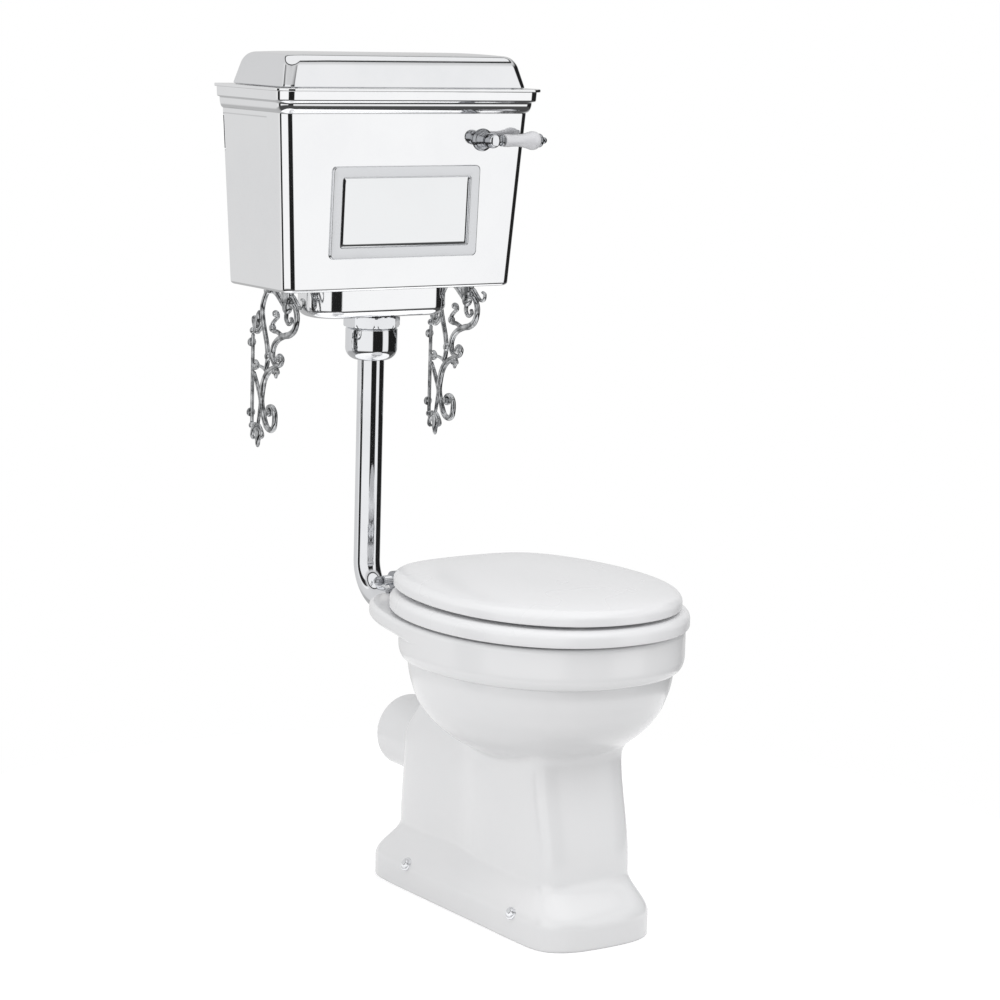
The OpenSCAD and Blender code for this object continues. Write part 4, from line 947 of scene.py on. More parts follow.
@dataclass
class Seat:
    """The seat ring and its lid, both egg-shaped and cut off straight at the hinge."""

    pan: Pan
    thick: float = 22.0
    hole: float = 112.0
    buffer: float = 4.0
    lid_inset: float = 13.5
    lid_thick: float = 29.0
    hinge_y: float = 280.0
    ahead: float = 7.0
    nose_out: float = 1.5
    back_gap: float = 22.0
    tail_out: float = 13.0
    lid_nose_in: float = 7.0
    lid_tail_out: float = 26.0
    crisp: int = 10

    def __post_init__(self) -> None:
        """Works out the heights and half widths from the pan's."""
        self.middle = self.pan.middle + self.ahead
        self.nose = self.pan.nose + self.nose_out
        self.low = self.pan.height + self.buffer
        self.top = self.low + self.thick
        self.lid_low = self.top + self.buffer
        self.side = self.pan.side
        self.back = self.middle - self.hinge_y - self.back_gap

    def rings(self, z: Array, radius: Array) -> Array:
        """Points at a height and a radius from the middle of the seat.

        Args:
            z: The height of each row.
            radius: The radius at each heading.

        Returns:
            A grid of points, one row for each height.
        """
        ring = self.pan.ring(z, radius)
        ring[..., 1] += self.pan.middle - self.middle
        return ring

    def outline(self, inset: float) -> Array:
        """Radius of the seat's outer edge."""
        tail = self.nose + self.tail_out
        return self.pan.egg(self.side - inset, self.nose - inset, tail - inset, self.back - inset, self.crisp)

    def hole_edge(self, grow: float) -> Array:
        """Radius of the hole's edge."""
        return self.pan.ellipse_pair(self.hole + grow, self.hole + 38 + grow, self.hole + 10 + grow)

    def lid_outline(self, inset: float) -> Array:
        """Radius of the lid's edge."""
        side, nose, tail = self.side - self.lid_inset, self.nose - self.lid_nose_in, self.nose + self.lid_tail_out
        return self.pan.egg(side - inset, nose - inset, tail - inset, self.back - inset, self.crisp)

    def ring_piece(self) -> None:
        """Makes the seat ring: outer and inner edges are quarter ellipses, and the top is a soft crown."""
        low, top = self.low, self.top
        rows = [self.rings(low + up, self.outline(i)) for i, up in undercut(1.8, 2.2, 4)]
        rows += [self.rings(top - 11 + up, self.outline(i)) for i, up in quarter(13.0, 10.6, 9)]
        out, hole = self.outline(13.0), self.hole_edge(15.0)
        rows += [self.rings(top - 0.4 + 0.4 * math.sin(math.pi * t), out * (1 - t) + hole * t) for t in (0.3, 0.5, 0.7)]
        rows += [self.rings(top - 12 + up, self.hole_edge(i)) for i, up in quarter(15.0, 11.6, 9)[::-1]]
        rows += [self.rings(low + 4 - up, self.hole_edge(i)) for i, up in quarter(4.0, 4.0, 4)]
        make_piece("seat_ring_painted", [Sheet(np.concatenate(rows), looped=True)], SEAT_PAINT, "seat", ["seat_ring"])

    def lid_piece(self) -> None:
        """Makes the lid: a rounded edge, then a long low crown that flattens towards the middle."""
        z, t = self.lid_low, self.lid_thick
        rows = [self.rings(z + up, self.lid_outline(i)) for i, up in undercut(1.5, 2.0, 4)]
        crown = spline([(0, 3), (0, t - 20), (1.2, t - 16.5), (5, t - 12.2), (12, t - 9), (26, t - 6), (45, t - 3.6),
                        (75, t - 1.2), (110, t), (150, t)], 5)
        rows += [self.rings(z + up, self.lid_outline(i)) for i, up in crown]
        make_piece("seat_lid_painted", [Sheet(np.concatenate(rows))], SEAT_PAINT, "lid", ["seat_lid"])

    def build(self) -> None:
        """Makes both pieces."""
        self.ring_piece()
        self.lid_piece()


# Cistern


@dataclass
class Cistern:
    """The cistern: a tapering box with a moulded cornice, a well under its floor and a domed lid."""

    low: float = 806.0
    height: float = 279.0
    rim_w: float = 432.0
    rim_d: float = 188.0
    top_w: float = 404.0
    top_d: float = 168.0
    low_w: float = 372.0
    low_d: float = 156.0
    cornice_h: float = 36.0
    metal: float = 2.5
    well_w: float = 224.0
    well_d: float = 90.0
    well_h: float = 43.0
    outlet_y: float = 80.0
    rim_r: float = 22.0
    body_r: float = 15.0
    back_r: float = 4.0
    panel_front: float = 127.0
    panel_h: float = 59.0
    panel_t: float = 1.2
    cap_h: float = 46.5
    cap_inset: float = 18.0
    cap_back: float = 14.0
    cap_gap: float = 0.3
    cap_r: float = 14.0
    well_r: float = 38.0
    panel_r: float = 12.0
    mouth_r: float = 12.0
    mouth_side: float = 29.0
    mouth_edge: float = 26.0
    skirt_gap: float = 3.0

    def __post_init__(self) -> None:
        """Works out the heights and slopes."""
        self.top = self.low + self.height
        self.body_h = self.height - self.cornice_h
        self.side_slope = (self.top_w - self.low_w) / 2 / self.body_h
        self.front_slope = (self.top_d - self.low_d) / self.body_h

    def side_at(self, z: Array) -> Array:
        """Half the body's width at a height."""
        return self.low_w / 2 + (z - self.low) * self.side_slope

    def front_at(self, z: Array) -> Array:
        """Distance of the body's front from the wall at a height."""
        return self.low_d + (z - self.low) * self.front_slope

    def body_rows(self, z: Array, inset: Array, edge: Array) -> Array:
        """Rings of the tapering body, drawn in by an inset and by a rounded bottom edge.

        Args:
            z: The height of each ring.
            inset: How far inside the outer face it lies.
            edge: How far the bottom edge draws it in.

        Returns:
            A grid of points, one row for each ring.
        """
        gap = inset + edge
        return self.ring(self.side_at(z) - gap, self.front_at(z) - gap, gap, self.body_r - inset,
                         self.back_r - 0.9 * inset, z)

    def ring(self, half: Array, front: Array, back: Array, front_r: Array, back_r: Array, z: Array) -> Array:
        """Rings with enough points along the sides to hold the pressed panels."""
        return slot_ring(half, front, back, front_r, back_r, z, corner=12, side=60, face=8)

    def cornice_rows(self, steps: Array, inset: float) -> Array:
        """Rings of the cornice, from shares of its overhang and of its height down from the rim.

        Args:
            steps: The two shares of each ring.
            inset: How far inside the outer face the rings lie.

        Returns:
            A grid of points, one row for each ring.
        """
        out, down = steps[:, 0], steps[:, 1]
        half = self.rim_w / 2 - out * (self.rim_w - self.top_w) / 2 - inset
        front = self.rim_d - out * (self.rim_d - self.top_d) - inset
        corner = self.rim_r - out * (self.rim_r - self.body_r) - inset
        back_r = np.full_like(out, self.back_r - 0.9 * inset)
        return self.ring(half, front, np.full_like(out, inset), corner, back_r, self.top - self.cornice_h * down)

    def cornice(self) -> Array:
        """The cornice's outline: a flat band, a step, a hollow curve down to the body, and a bead on top."""
        bead = rounded([(0.30, 0.0), (0.0, 0.0), (0.0, 0.115), (0.26, 0.125)], [0, 0.05, 0.05, 0], 5)
        band = rounded([(0.26, 0.125), (0.30, 0.44), (0.34, 0.49), (0.56, 0.515)], [0, 0.05, 0.05, 0], 4)
        a = np.linspace(0.0, math.pi / 2, 9)
        cove = np.column_stack([0.60 + 0.38 * (1 - np.cos(a)), 0.53 + 0.40 * np.sin(a)])
        return np.vstack([bead, band[1:], cove, [[1.0, 0.955], [1.0, 1.0]]])

    def press_panels(self, grid: Array, rows: slice) -> None:
        """Presses the side panels in: the depth is a smooth step over the distance inside a rounded oblong.

        Args:
            grid: The cistern's grid of points, which is changed.
            rows: The rows of the body's outer face.
        """
        part = grid[rows]
        top = self.top - self.cornice_h - 3.0
        low = self.top - self.cornice_h - self.panel_h
        y, z = -part[..., 1], part[..., 2]
        dy = np.maximum(y - (self.panel_front - self.panel_r), 0.0)
        dz = np.maximum((low + self.panel_r) - z, 0.0)
        inside = np.minimum(self.panel_r - np.hypot(dy, dz), top - z)
        on_side = np.abs(part[..., 0]) > self.side_at(z) - 0.2
        depth = self.panel_t * ramp(0.0, 4.0, inside) * on_side
        part[..., 0] -= np.sign(part[..., 0]) * depth
        grid[rows] = part

    def well_rows(self, z: Array, inset: Array) -> Array:
        """Rings of the well under the floor.

        Args:
            z: The height of each ring.
            inset: How far inside the outer face it lies.

        Returns:
            A grid of points, one row for each ring.
        """
        front, back = self.outlet_y + self.well_d / 2, self.outlet_y - self.well_d / 2
        corner = self.well_r - np.asarray(inset, float) / 2
        return self.ring(self.well_w / 2 - inset, front - inset, back + inset, corner, corner, z)

    def shell(self) -> None:
        """Makes the shell: well, floor, body and cornice outside, then the mouth and the same inside."""
        well_z = self.low - self.well_h
        dip = undercut(15.0, 13.0, 8)
        well = self.well_rows(well_z + dip[:, 1], dip[:, 0])
        well_top = self.well_rows(np.array([well_z + 16, well_z + 24, self.low - 3, self.low]), np.zeros(4))
        foot = quarter(4.5, 4.5, 5)[::-1]
        floor = self.body_rows(self.low + 4.5 - foot[:, 1], np.zeros(6), foot[:, 0])
        panel_z = np.arange(self.top - self.cornice_h - self.panel_h - 4, self.top - self.cornice_h - 0.5, 2.0)
        plain = np.linspace(self.low + 8, panel_z[0] - 3, 12)
        body_z = np.concatenate([plain, panel_z])
        body = self.body_rows(body_z, np.zeros_like(body_z), np.zeros_like(body_z))
        crown = self.cornice_rows(self.cornice()[::-1], 0.0)
        side, front, back = self.rim_w / 2 - self.mouth_side, self.rim_d - self.mouth_edge, self.mouth_edge
        mouth = self.ring(side + np.array([3.0, 0, 0, 3.0]), front + np.array([3.0, 0, 0, 3.0]),
                          back - np.array([3.0, 0, 0, 3.0]), np.full(4, self.mouth_r), np.full(4, self.mouth_r),
                          self.top - np.array([0.0, 1.0, self.metal - 1, self.metal]))
        hollow = self.cornice_rows(np.array([(0.28, 0.11), (0.31, 0.4), (0.59, 0.45), (0.76, 0.7), (1, 1)]), self.metal)
        bed = self.low + self.metal
        deep = np.array([self.top - self.cornice_h - 20, self.low + 30, bed + 3, bed])
        inside = self.body_rows(deep, np.full(4, self.metal), np.array([0.0, 0.0, 0.5, 4.0]))
        pit = self.well_rows(np.array([self.low + self.metal, self.low - 4, well_z + 10, well_z + 5, well_z + 3]),
                             np.array([1.0, 2.5, 2.5, 5.0, 10.0]))
        rows = [well, well_top, floor, body, crown, mouth, hollow, inside, pit]
        grid = np.concatenate(rows)
        start = sum(len(r) for r in rows[:3])
        self.press_panels(grid, slice(start, start + len(body)))
        make_piece("cistern_shell", [Sheet(grid)], TANK_METAL, replaces=["tank_shell"], sharp=60)

    def cap_rows(self, inset: Array, up: Array) -> Array:
        """Rings of the lid.

        Args:
            inset: How far inside the lid's edge each ring lies.
            up: How far above the lid's foot it lies.

        Returns:
            A grid of points, one row for each ring.
        """
        inset = np.asarray(inset, float)
        front, back = self.rim_d - 20 - inset, self.cap_back + inset
        corner = np.minimum(self.cap_r + inset * 0.3, (front - back) / 2 - 0.5)
        return slot_ring(self.rim_w / 2 - self.cap_inset - inset, front, back, corner, corner,
                         self.top + self.cap_gap + np.asarray(up, float), corner=14, side=8, face=8)

    def lid(self) -> None:
        """Makes the lid: steep flat sides, a rounded shoulder and a low crown, hollow under a skirt."""
        h = self.cap_h
        line = rounded([(1.2, 0.0), (0.0, 1.2), (0.4, 3.5), (8.0, 0.74 * h), (15.0, 0.94 * h), (40.0, 0.99 * h),
                        (70.0, h)], [0, 1, 2, 7, 9, 16, 0], 7)
        outer = self.cap_rows(line[:, 0], line[:, 1])
        inner = self.cap_rows(line[6:, 0] + self.metal, np.maximum(line[6:, 1] - self.metal, 1.0))[::-1]
        edge = self.mouth_edge + self.skirt_gap
        half, front = self.rim_w / 2 - self.mouth_side - self.skirt_gap, self.rim_d - edge
        gap = np.array([self.metal, self.metal, 0.8, 0.0, 0.0])
        z = self.top + self.cap_gap + np.array([0.5, -11.0, -12.0, -11.5, 0.0])
        skirt = slot_ring(half - gap, front - gap, edge + gap, 10 - gap / 2, 10 - gap / 2, z,
                          corner=14, side=8, face=8)
        grid = np.concatenate([outer[::-1], skirt[::-1], inner[::-1]])
        # The lid takes the darker copy of the cistern metal: painted shade.
        make_piece("cistern_lid", [Sheet(grid)], CAP_METAL_PAINTED_SHADE, "cistern_lid", ["tank_lid"], sharp=60)

    def build(self) -> None:
        """Makes the shell and the lid."""
        self.shell()
        self.lid()


@dataclass
class NamePlate:
    """The bare plate on the cistern's front: a satin border with rounded corners round a bright field."""

    cistern: Cistern
    width: float = 241.0
    height: float = 128.0
    border: float = 16.0
    up: float = 109.0
    thick: float = 3.2

    def on_front(self, x: Array, up: Array, out: Array) -> Array:
        """Lays points on the sloping front: across, up the slope, and square out of it.

        Args:
            x: Places across.
            up: Places up the slope from the plate's middle.
            out: How far they stand out.

        Returns:
            The points.
        """
        tilt = math.atan(self.cistern.front_slope)
        z = self.cistern.low + self.up
        y = -self.cistern.front_at(z) - up * math.sin(tilt) - out * math.cos(tilt)
        return np.stack([x, y, z + up * math.cos(tilt) - out * math.sin(tilt)], axis=-1)

    def outline(self, inset: float, corner: float, out: float) -> Array:
        """One rounded oblong at a height over the front.

        Args:
            inset: How far inside the plate's edge it lies.
            corner: The radius of its corners.
            out: How far it stands out.

        Returns:
            Its points.
        """
        half_w, half_h = self.width / 2 - inset, self.height / 2 - inset
        flat = slot_ring(half_w, half_h, -half_h, corner, corner, 0.0, corner=8, side=2, face=2)[0]
        return self.on_front(flat[:, 0], -flat[:, 1], np.full(len(flat), out))

    def build(self) -> None:
        """Makes the border, whose section is flat on top with narrow sloped edges, and the field."""
        b, t = self.border, self.thick
        section = rounded([(0.0, -0.4), (0.0, t - 0.8), (1.0, t), (b - 1.0, t), (b, t - 0.8), (b, -0.4)], 0.4, 3,
                          closed=True)
        corner = 7.0 - 3.0 * section[:, 0] / b
        rows = np.array([self.outline(i, c, o) for (i, o), c in zip(section, corner)])
        make_piece("plate_border", [Sheet(rows, looped=True)], PLATE_SATIN, replaces=["name_plate_frame"], sharp=50)
        face = np.array([self.outline(b + i, 4.0, o) for i, o in ((0.1, -0.4), (0.1, 1.1), (0.5, 1.5), (6.0, 1.5))])
        make_piece("plate_field", [Sheet(face)], PLATE_BRIGHT, replaces=["name_plate_field"], sharp=50)


# Flush lever


@dataclass
class Lever:
    """The flush lever: a turned boss on the cistern's front, and a neck with a china grip."""

    cistern: Cistern
    x: float = 123.0
    up: float = 208.0
    stand: float = 25.5
    grip: float = 58.0
    neck: float = 19.0
    hub_out: float = 16.3
    button_out: float = 6.4

    def build(self) -> None:
        """Makes the boss, neck, button, grip and end cap, each turned about its own axis."""
        z = self.cistern.low + self.up
        front = self.cistern.front_at(z)
        y = front + self.stand
        # The boss, neck and end cap take the darker chrome copy, whose colour is painted dark reflection.
        boss = rounded([(0, -6), (16, -6), (16, 2), (14.6, 4), (12.9, 4.6), (12.6, 7.6), (11, 9), (11, 12), (10, 12.8),
                        (10, 16), (0, 16)], [0, 0.5, 1.6, 1, 0.8, 1, 0.6, 0.8, 0.5, 0.5, 0])
        make_piece("lever_boss_turned", [Sheet(turned(boss, (self.x, -front, z), (0, -1, 0)))], CHROME_PAINTED_DARK,
                   replaces=["lever_boss"])
        hub = rounded([(0, 0), (9.5, 0), (10.4, 5), (10.4, 12), (9.2, 15.6), (0, 15.6)], [0, 0.8, 2.5, 2.5, 1.2, 0])
        arm = rounded([(0, 0), (6, 0), (5.2, 9), (5.2, 12.6), (8, 13.6), (8, 16.6), (6.5, 17.8), (6.5, self.neck),
                       (0, self.neck)], [0, 1, 2, 1, 1.5, 1.5, 0.6, 0.3, 0])
        make_piece("lever_neck_turned",
                   [Sheet(turned(hub, (self.x, -front - self.hub_out, z), (0, -1, 0))),
                    Sheet(turned(arm, (self.x, -y, z), (1, 0, 0), 64))],
                   CHROME_PAINTED_DARK, "lever", ["lever_neck", "lever_spindle"])
        button = rounded([(0, -1), (8.6, -1), (8.6, 0.6), (8, 1.6), (5, 2.1), (0, 2.3)], [0, 0.3, 0.8, 1, 2, 0])
        make_piece("lever_button_turned",
                   [Sheet(turned(button, (self.x, -y - self.button_out, z), (0, -1, 0), 64))], CHROME, "lever",
                   ["lever_button"])
        g = self.grip
        grip = spline([(7, 0), (8.6, 1), (8.8, 0.1 * g), (8.3, 0.3 * g), (8.8, 0.48 * g), (11, 0.66 * g),
                       (13.2, 0.80 * g), (12.6, 0.92 * g), (9.4, g)], 6)
        grip = np.vstack([[[0.0, 0.0]], grip, [[0.0, g]]])
        # The grip takes the darker grey copy of the china: painted shade.
        make_piece("lever_grip", [Sheet(turned(grip, (self.x + self.neck, -y, z), (1, 0, 0)))], GRIP_CHINA_PAINTED_SHADE, "lever",
                   ["lever_handle"])
        a = np.radians(np.arange(-35, 91, 9.0))
        tip = np.column_stack([4.6 * np.cos(a), 10.6 + 4.6 * np.sin(a)])
        cap = np.vstack([rounded([(0, 0), (9.6, 0), (9.9, 2.6), (9, 4.6), (6, 6.4), (3.8, 7.9)],
                                 [0, 0.3, 1, 1.5, 1.5, 0.5]), tip])
        make_piece("lever_cap_turned", [Sheet(turned(cap, (self.x + self.neck + g, -y, z), (1, 0, 0), 64))],
                   CHROME_PAINTED_DARK, "lever", ["lever_end_cap"])


# Hinge


@dataclass
class Hinge:
    """The seat hinge: two pillars on the deck, and a rod with ball ends through them."""

    pan: Pan
    y: float = 280.0
    up: float = 18.0
    span: float = 155.0
    rod_r: float = 7.0
    rod_over: float = 26.5

    def build(self) -> None:
        """Makes the pillars, the rod and its ball ends."""
        z = self.pan.height + self.up
        foot = rounded([(0, 0.05), (15, 0.05), (15, 2.5), (13.5, 4), (9, 5.5), (7.5, 8), (7.5, 18), (0, 18)],
                       [0, 0.5, 1, 1.5, 1.5, 3, 1, 0])
        barrel = rounded([(0, -8), (12, -8), (12, 8), (0, 8)], [0, 1.6, 1.6, 0])
        sheets = []
        for side in (-1, 1):
            x = side * self.span / 2
            sheets.append(Sheet(turned(foot, (x, -self.y, self.pan.height), (0, 0, 1), 64)))
            sheets.append(Sheet(turned(barrel, (x, -self.y, z), (1, 0, 0), 64)))
            stud = [(0, -48), (6, -48), (6, 2), (0, 2)]
            sheets.append(Sheet(turned(np.array(stud, float), (x, -self.y, self.pan.height), (0, 0, 1), 32)))
        # The pillars and ball ends take the darker chrome copy, whose colour is painted dark reflection.
        make_piece("hinge_pillars_turned", sheets, CHROME_PAINTED_DARK, replaces=["hinge_pillars"], sharp=50)
        end = self.span / 2 + self.rod_over
        rod = rounded([(0, -end + 5), (self.rod_r, -end + 5), (self.rod_r, end - 5), (0, end - 5)], [0, 0.6, 0.6, 0])
        make_piece("hinge_rod_turned", [Sheet(turned(rod, (0, -self.y, z), (1, 0, 0), 64))], CHROME,
                   replaces=["hinge_rod"], sharp=50)
        a = np.radians(np.arange(-50, 91, 7.0))
        ball = np.vstack([rounded([(0, 0), (6.2, 0), (6.2, 1.2), (4.6, 2.2)], [0, 0.3, 0.5, 0]),
                          np.column_stack([6.8 * np.cos(a), 7 + 6.8 * np.sin(a)])])
        balls = [Sheet(turned(ball, (side * (end - 5), -self.y, z), (side, 0, 0), 64)) for side in (-1, 1)]
        make_piece("hinge_balls", balls, CHROME_PAINTED_DARK, replaces=["hinge_finials"])


# Flush pipe and its nuts


@dataclass
class FlushPipe:
    """The flush pipe, with the eight-sided nut and the round cup under the cistern's well."""

    cistern: Cistern
    pan: Pan
    pipe_r: float = 19.0
    elbow: float = 50.0
    nut_h: float = 17.0
    nut_flats: float = 75.0
    nut_sides: int = 8
    cup_r: float = 37.0
    cup_h: float = 46.0
    cup_round: float = 17.0
    cup_gap: float = 0.3
    pipe_wall: float = 1.5
    pipe_top: float = 712.0
    pipe_in: float = 37.0

    def nut(self) -> Sheet:
        """The nut: flats cut from a round bar, whose two ends are turned down to a blunt cone."""
        sides = 192
        a = circle_angles(sides)
        sector = 2 * math.pi / self.nut_sides
        turn = (a + sector / 2) % sector - sector / 2
        flat = self.nut_flats / 2 / np.cos(turn)
        top = self.cistern.low - self.cistern.well_h
        limit = self.nut_flats / 2 / math.cos(sector / 2)
        rows = []
        for share, down in ((0, 0), (0.90, 0), (0.955, 0.9), (1.0, 2.6), (1.0, self.nut_h / 2), (1.0, self.nut_h - 2.6),
                            (0.955, self.nut_h - 0.9), (0.90, self.nut_h), (0, self.nut_h)):
            r = np.minimum(flat, limit * share)
            y = -self.cistern.outlet_y - r * np.cos(a)
            rows.append(np.stack([r * np.sin(a), y, np.full(sides, top - down)], axis=-1))
        return Sheet(np.array(rows))

    def cup(self) -> Sheet:
        """The cup: a bottom with a rounded edge, a straight side, a blunt rim and a bore that holds the pipe."""
        top = self.cistern.low - self.cistern.well_h - self.nut_h - self.cup_gap
        low = top - self.cup_h
        bottom = undercut(self.cup_round, self.cup_round, 12)
        outer = np.column_stack([self.cup_r - bottom[:, 0], low + bottom[:, 1]])
        rim = [(self.cup_r, top - 2.5), (self.cup_r - 0.8, top - 0.8), (self.cup_r - 2.5, top), (self.pipe_r + 5, top),
               (self.pipe_r + 5, low + 12), (self.pipe_r + 0.4, low + 12), (self.pipe_r + 0.4, low)]
        profile = np.vstack([outer, rim])
        return Sheet(turned(profile, (0, -self.cistern.outlet_y, 0), (0, 0, 1), 128), looped=True)

    def pipe(self) -> Sheet:
        """The pipe: circles carried down, round a quarter of a circle and back into the horn, outside and inside."""
        y, z = -self.cistern.outlet_y, self.pan.height - self.pan.horn_drop
        a = np.linspace(0.0, math.pi / 2, 33)[1:-1]
        bend = np.column_stack([np.zeros_like(a), y - self.elbow * (1 - np.cos(a)), z + self.elbow * (1 - np.sin(a))])
        path = np.vstack([[[0, y, self.pipe_top], [0, y, (self.pipe_top + z) / 2], [0, y, z + self.elbow]], bend,
                          [[0, y - self.elbow, z], [0, -self.pan.horn_end - self.pipe_in, z]]])
        t = circle_angles(96)
        circle = np.column_stack([np.cos(t), np.sin(t)])
        skins = []
        for r in (self.pipe_r, self.pipe_r - self.pipe_wall):
            rings = np.broadcast_to(r * circle, (len(path), *circle.shape))
            skins.append(swept(path, lambda share, run, rings=rings: rings, (1, 0, 0)))
        return Sheet(np.concatenate([skins[0], skins[1][::-1]]), looped=True)

    def build(self) -> None:
        """Makes the nut, the cup and the pipe."""
        make_piece("outlet_nut", [self.nut()], CHROME, replaces=["siphon_back_nut"], sharp=25)
        make_piece("flush_cup", [self.cup()], CHROME, replaces=["flush_cup_nut"], sharp=50)
        make_piece("flush_pipe_bent", [self.pipe()], CHROME, replaces=["flush_pipe"], sharp=50)


# Brackets


@dataclass(frozen=True)
class Stroke:
    """One bar of the scrollwork, as distance from the wall and height over the cistern's floor."""

    points: Profile
    widths: Sequence[float]
    thick: float
    spread: int = 8


LEAVES = ((98, -25, 70, 24), (69, -112, -85, 16), (20, -116, 170, 15), (16, -67, 80, 31), (18, -198, -82, 34))
BALLS = ((98, -25, 10, 2), (78, -99, 5, 1.5), (53, -178, 6, 1.5), (48, -99, 6.5, 1), (67, -37, 5, 1),
         (59, -58, 6, 0.8), (5, -67, 5, 1), (17, -66, 5, 1), (6, -202, 5, 1), (20, -201, 5, 1))
PADS = ((52, -9, 6.0), (98, -18, 5.5))
LUGS = (-84, -184)


@dataclass
class Bracket:
    """A cast scroll bracket, drawn with bars that are round in section and taper to their ends."""

    cistern: Cistern
    span: float = 300.0
    thick: float = 8.0
    under: float = 0.2

    def strokes(self) -> list[Stroke]:
        """Lists the bars."""
        t = self.thick
        return [
            Stroke([(104, -20), (118, -22), (125, -36), (120, -53), (107, -62), (91, -66), (76, -72), (65, -81),
                    (60, -93), (63, -104), (72, -109), (82, -107), (86, -99), (80, -94), (74, -98)],
                   [6, 9, 10, 9, 8, 7, 5], t),
            Stroke([(76, -110), (63, -114), (48, -122), (38, -134), (33, -149), (31, -163), (34, -176), (40, -189),
                    (47, -199), (57, -202), (66, -198), (69, -187), (68, -176), (61, -169), (52, -170), (47, -177),
                    (51, -182)], [6, 10, 10, 8, 9, 7, 5], t),
            Stroke([(48, -3), (38, -15), (31, -30), (31, -44), (37, -63), (44, -82), (47, -99), (45, -112), (41, -121)],
                   [9, 8, 7, 7], t - 1.2),
            Stroke([(56, -4.5), (69, -8.5), (80, -16), (92, -25)], [8, 9, 8], t - 1.2),
            Stroke([(86, -66), (72, -62), (61, -61), (59, -53), (66, -46), (73, -41), (70, -35), (63, -38)],
                   [6, 7, 5, 5], t - 1.6),
            Stroke([(98, -18), (112, -9), (123, -16), (132, -22), (141, -21), (143, -13), (136, -10)],
                   [7, 7, 5, 4], t - 2.4),
            Stroke([(98, -26), (96, -41), (103, -48), (111, -44), (109, -37)], [8, 7, 5, 4], t - 2),
            Stroke([(8, -124), (21, -146), (28, -164), (26, -180), (22, -200)], [5, 8, 5, 4], t - 2.8),
            Stroke([(8, -118), (22, -115), (36, -117), (44, -121)], [5, 4, 6], t - 2.6),
            Stroke([(5, -70), (5, -110), (5, -160), (5, -202)], [5, 5], t - 2.6),
        ]

    def leaf(self, u: float, v: float, turn: float, size: float) -> list[Stroke]:
        """Three lobes of a leaf that points along a turn from level.

        Args:
            u: Its root's distance from the wall.
            v: Its root's height over the cistern's floor.
            turn: The turn in degrees.
            size: The leaf's length.

        Returns:
            The lobes.
        """
        c, s = math.cos(math.radians(turn)), math.sin(math.radians(turn))

        def spot(points: Profile) -> Profile:
            """Turns and moves a lobe's points, which are given as shares of the leaf's size."""
            return [(u + size * (c * a - s * b), v + size * (s * a + c * b)) for a, b in points]

        lobes = [Stroke(spot([(0, 0), (0.35, 0.1), (0.7, 0.02), (1, 0)]),
                        [0.3 * size, 0.52 * size, 0.34 * size, 1], self.thick - 1)]
        lobes += [Stroke(spot([(0, 0), (0.22, k * 0.28), (0.5, k * 0.42), (0.62, k * 0.26)]),
                         [0.3 * size, 0.26 * size, 0.2 * size, 0.12 * size], self.thick - 2) for k in (-1, 1)]
        return lobes

    def bar(self, stroke: Stroke, x: float) -> Sheet:
        """Carries a round section along a bar: the width follows the list, and both ends draw to a point.

        Args:
            stroke: The bar.
            x: The middle of the bracket, across.

        Returns:
            The bar's surface.
        """
        line = spline(stroke.points, stroke.spread)
        path = np.column_stack([np.full(len(line), x), -line[:, 0], line[:, 1] + self.cistern.low - self.under])
        a = circle_angles(20)

        def section(share: Array, run: Array) -> Array:
            """Ellipses whose size is the width there, times a quarter circle near each end."""
            knots = np.linspace(0.0, 1.0, len(stroke.widths))
            half = np.interp(share, knots, stroke.widths) / 2
            edge = np.minimum(run, run[-1] - run)
            close = np.sqrt(np.clip(1 - (1 - np.clip(edge / half, 0, 1)) ** 2, 0.0, 1.0))
            wide = (half * close)[:, None] * np.cos(a)[None, :]
            deep = np.minimum(stroke.thick / 2, 0.9 * half + 1.2) * close
            return np.stack([wide, deep[:, None] * np.sin(a)[None, :]], axis=-1)

        return Sheet(swept(path, section, (1, 0, 0)))

    def ball(self, u: float, v: float, r: float, half: float, x: float) -> Sheet:
        """A flattened ball on the scrollwork.

        Args:
            u: Its distance from the wall.
            v: Its height over the cistern's floor.
            r: Its radius.
            half: Half its thickness.
            x: The middle of the bracket, across.

        Returns:
            The ball's surface.
        """
        a = np.linspace(0.0, math.pi, 17)
        profile = np.column_stack([r * np.sin(a), -half * np.cos(a)])
        return Sheet(turned(profile, (x, -u, v + self.cistern.low - self.under), (1, 0, 0), 32))

    def pad(self, u: float, v0: float, v1: float, half: float, x: float) -> Sheet:
        """A flat pad that the cistern rests on.

        Args:
            u: Its middle's distance from the wall.
            v0: The height of its underside.
            v1: The height of its top.
            half: Half its width.
            x: The middle of the bracket, across.

        Returns:
            The pad's surface.
        """
        z = self.cistern.low - self.under
        zs = z + np.array([v0, v0 + 1, v1 - 1, v1])
        inset = np.array([1.0, 0, 0, 0.8])
        ring = slot_ring(half - inset, u + 11 - inset, u - 11 + inset, 3 - inset / 2, 3 - inset / 2, zs, corner=5)
        ring[..., 0] += x
        return Sheet(ring)

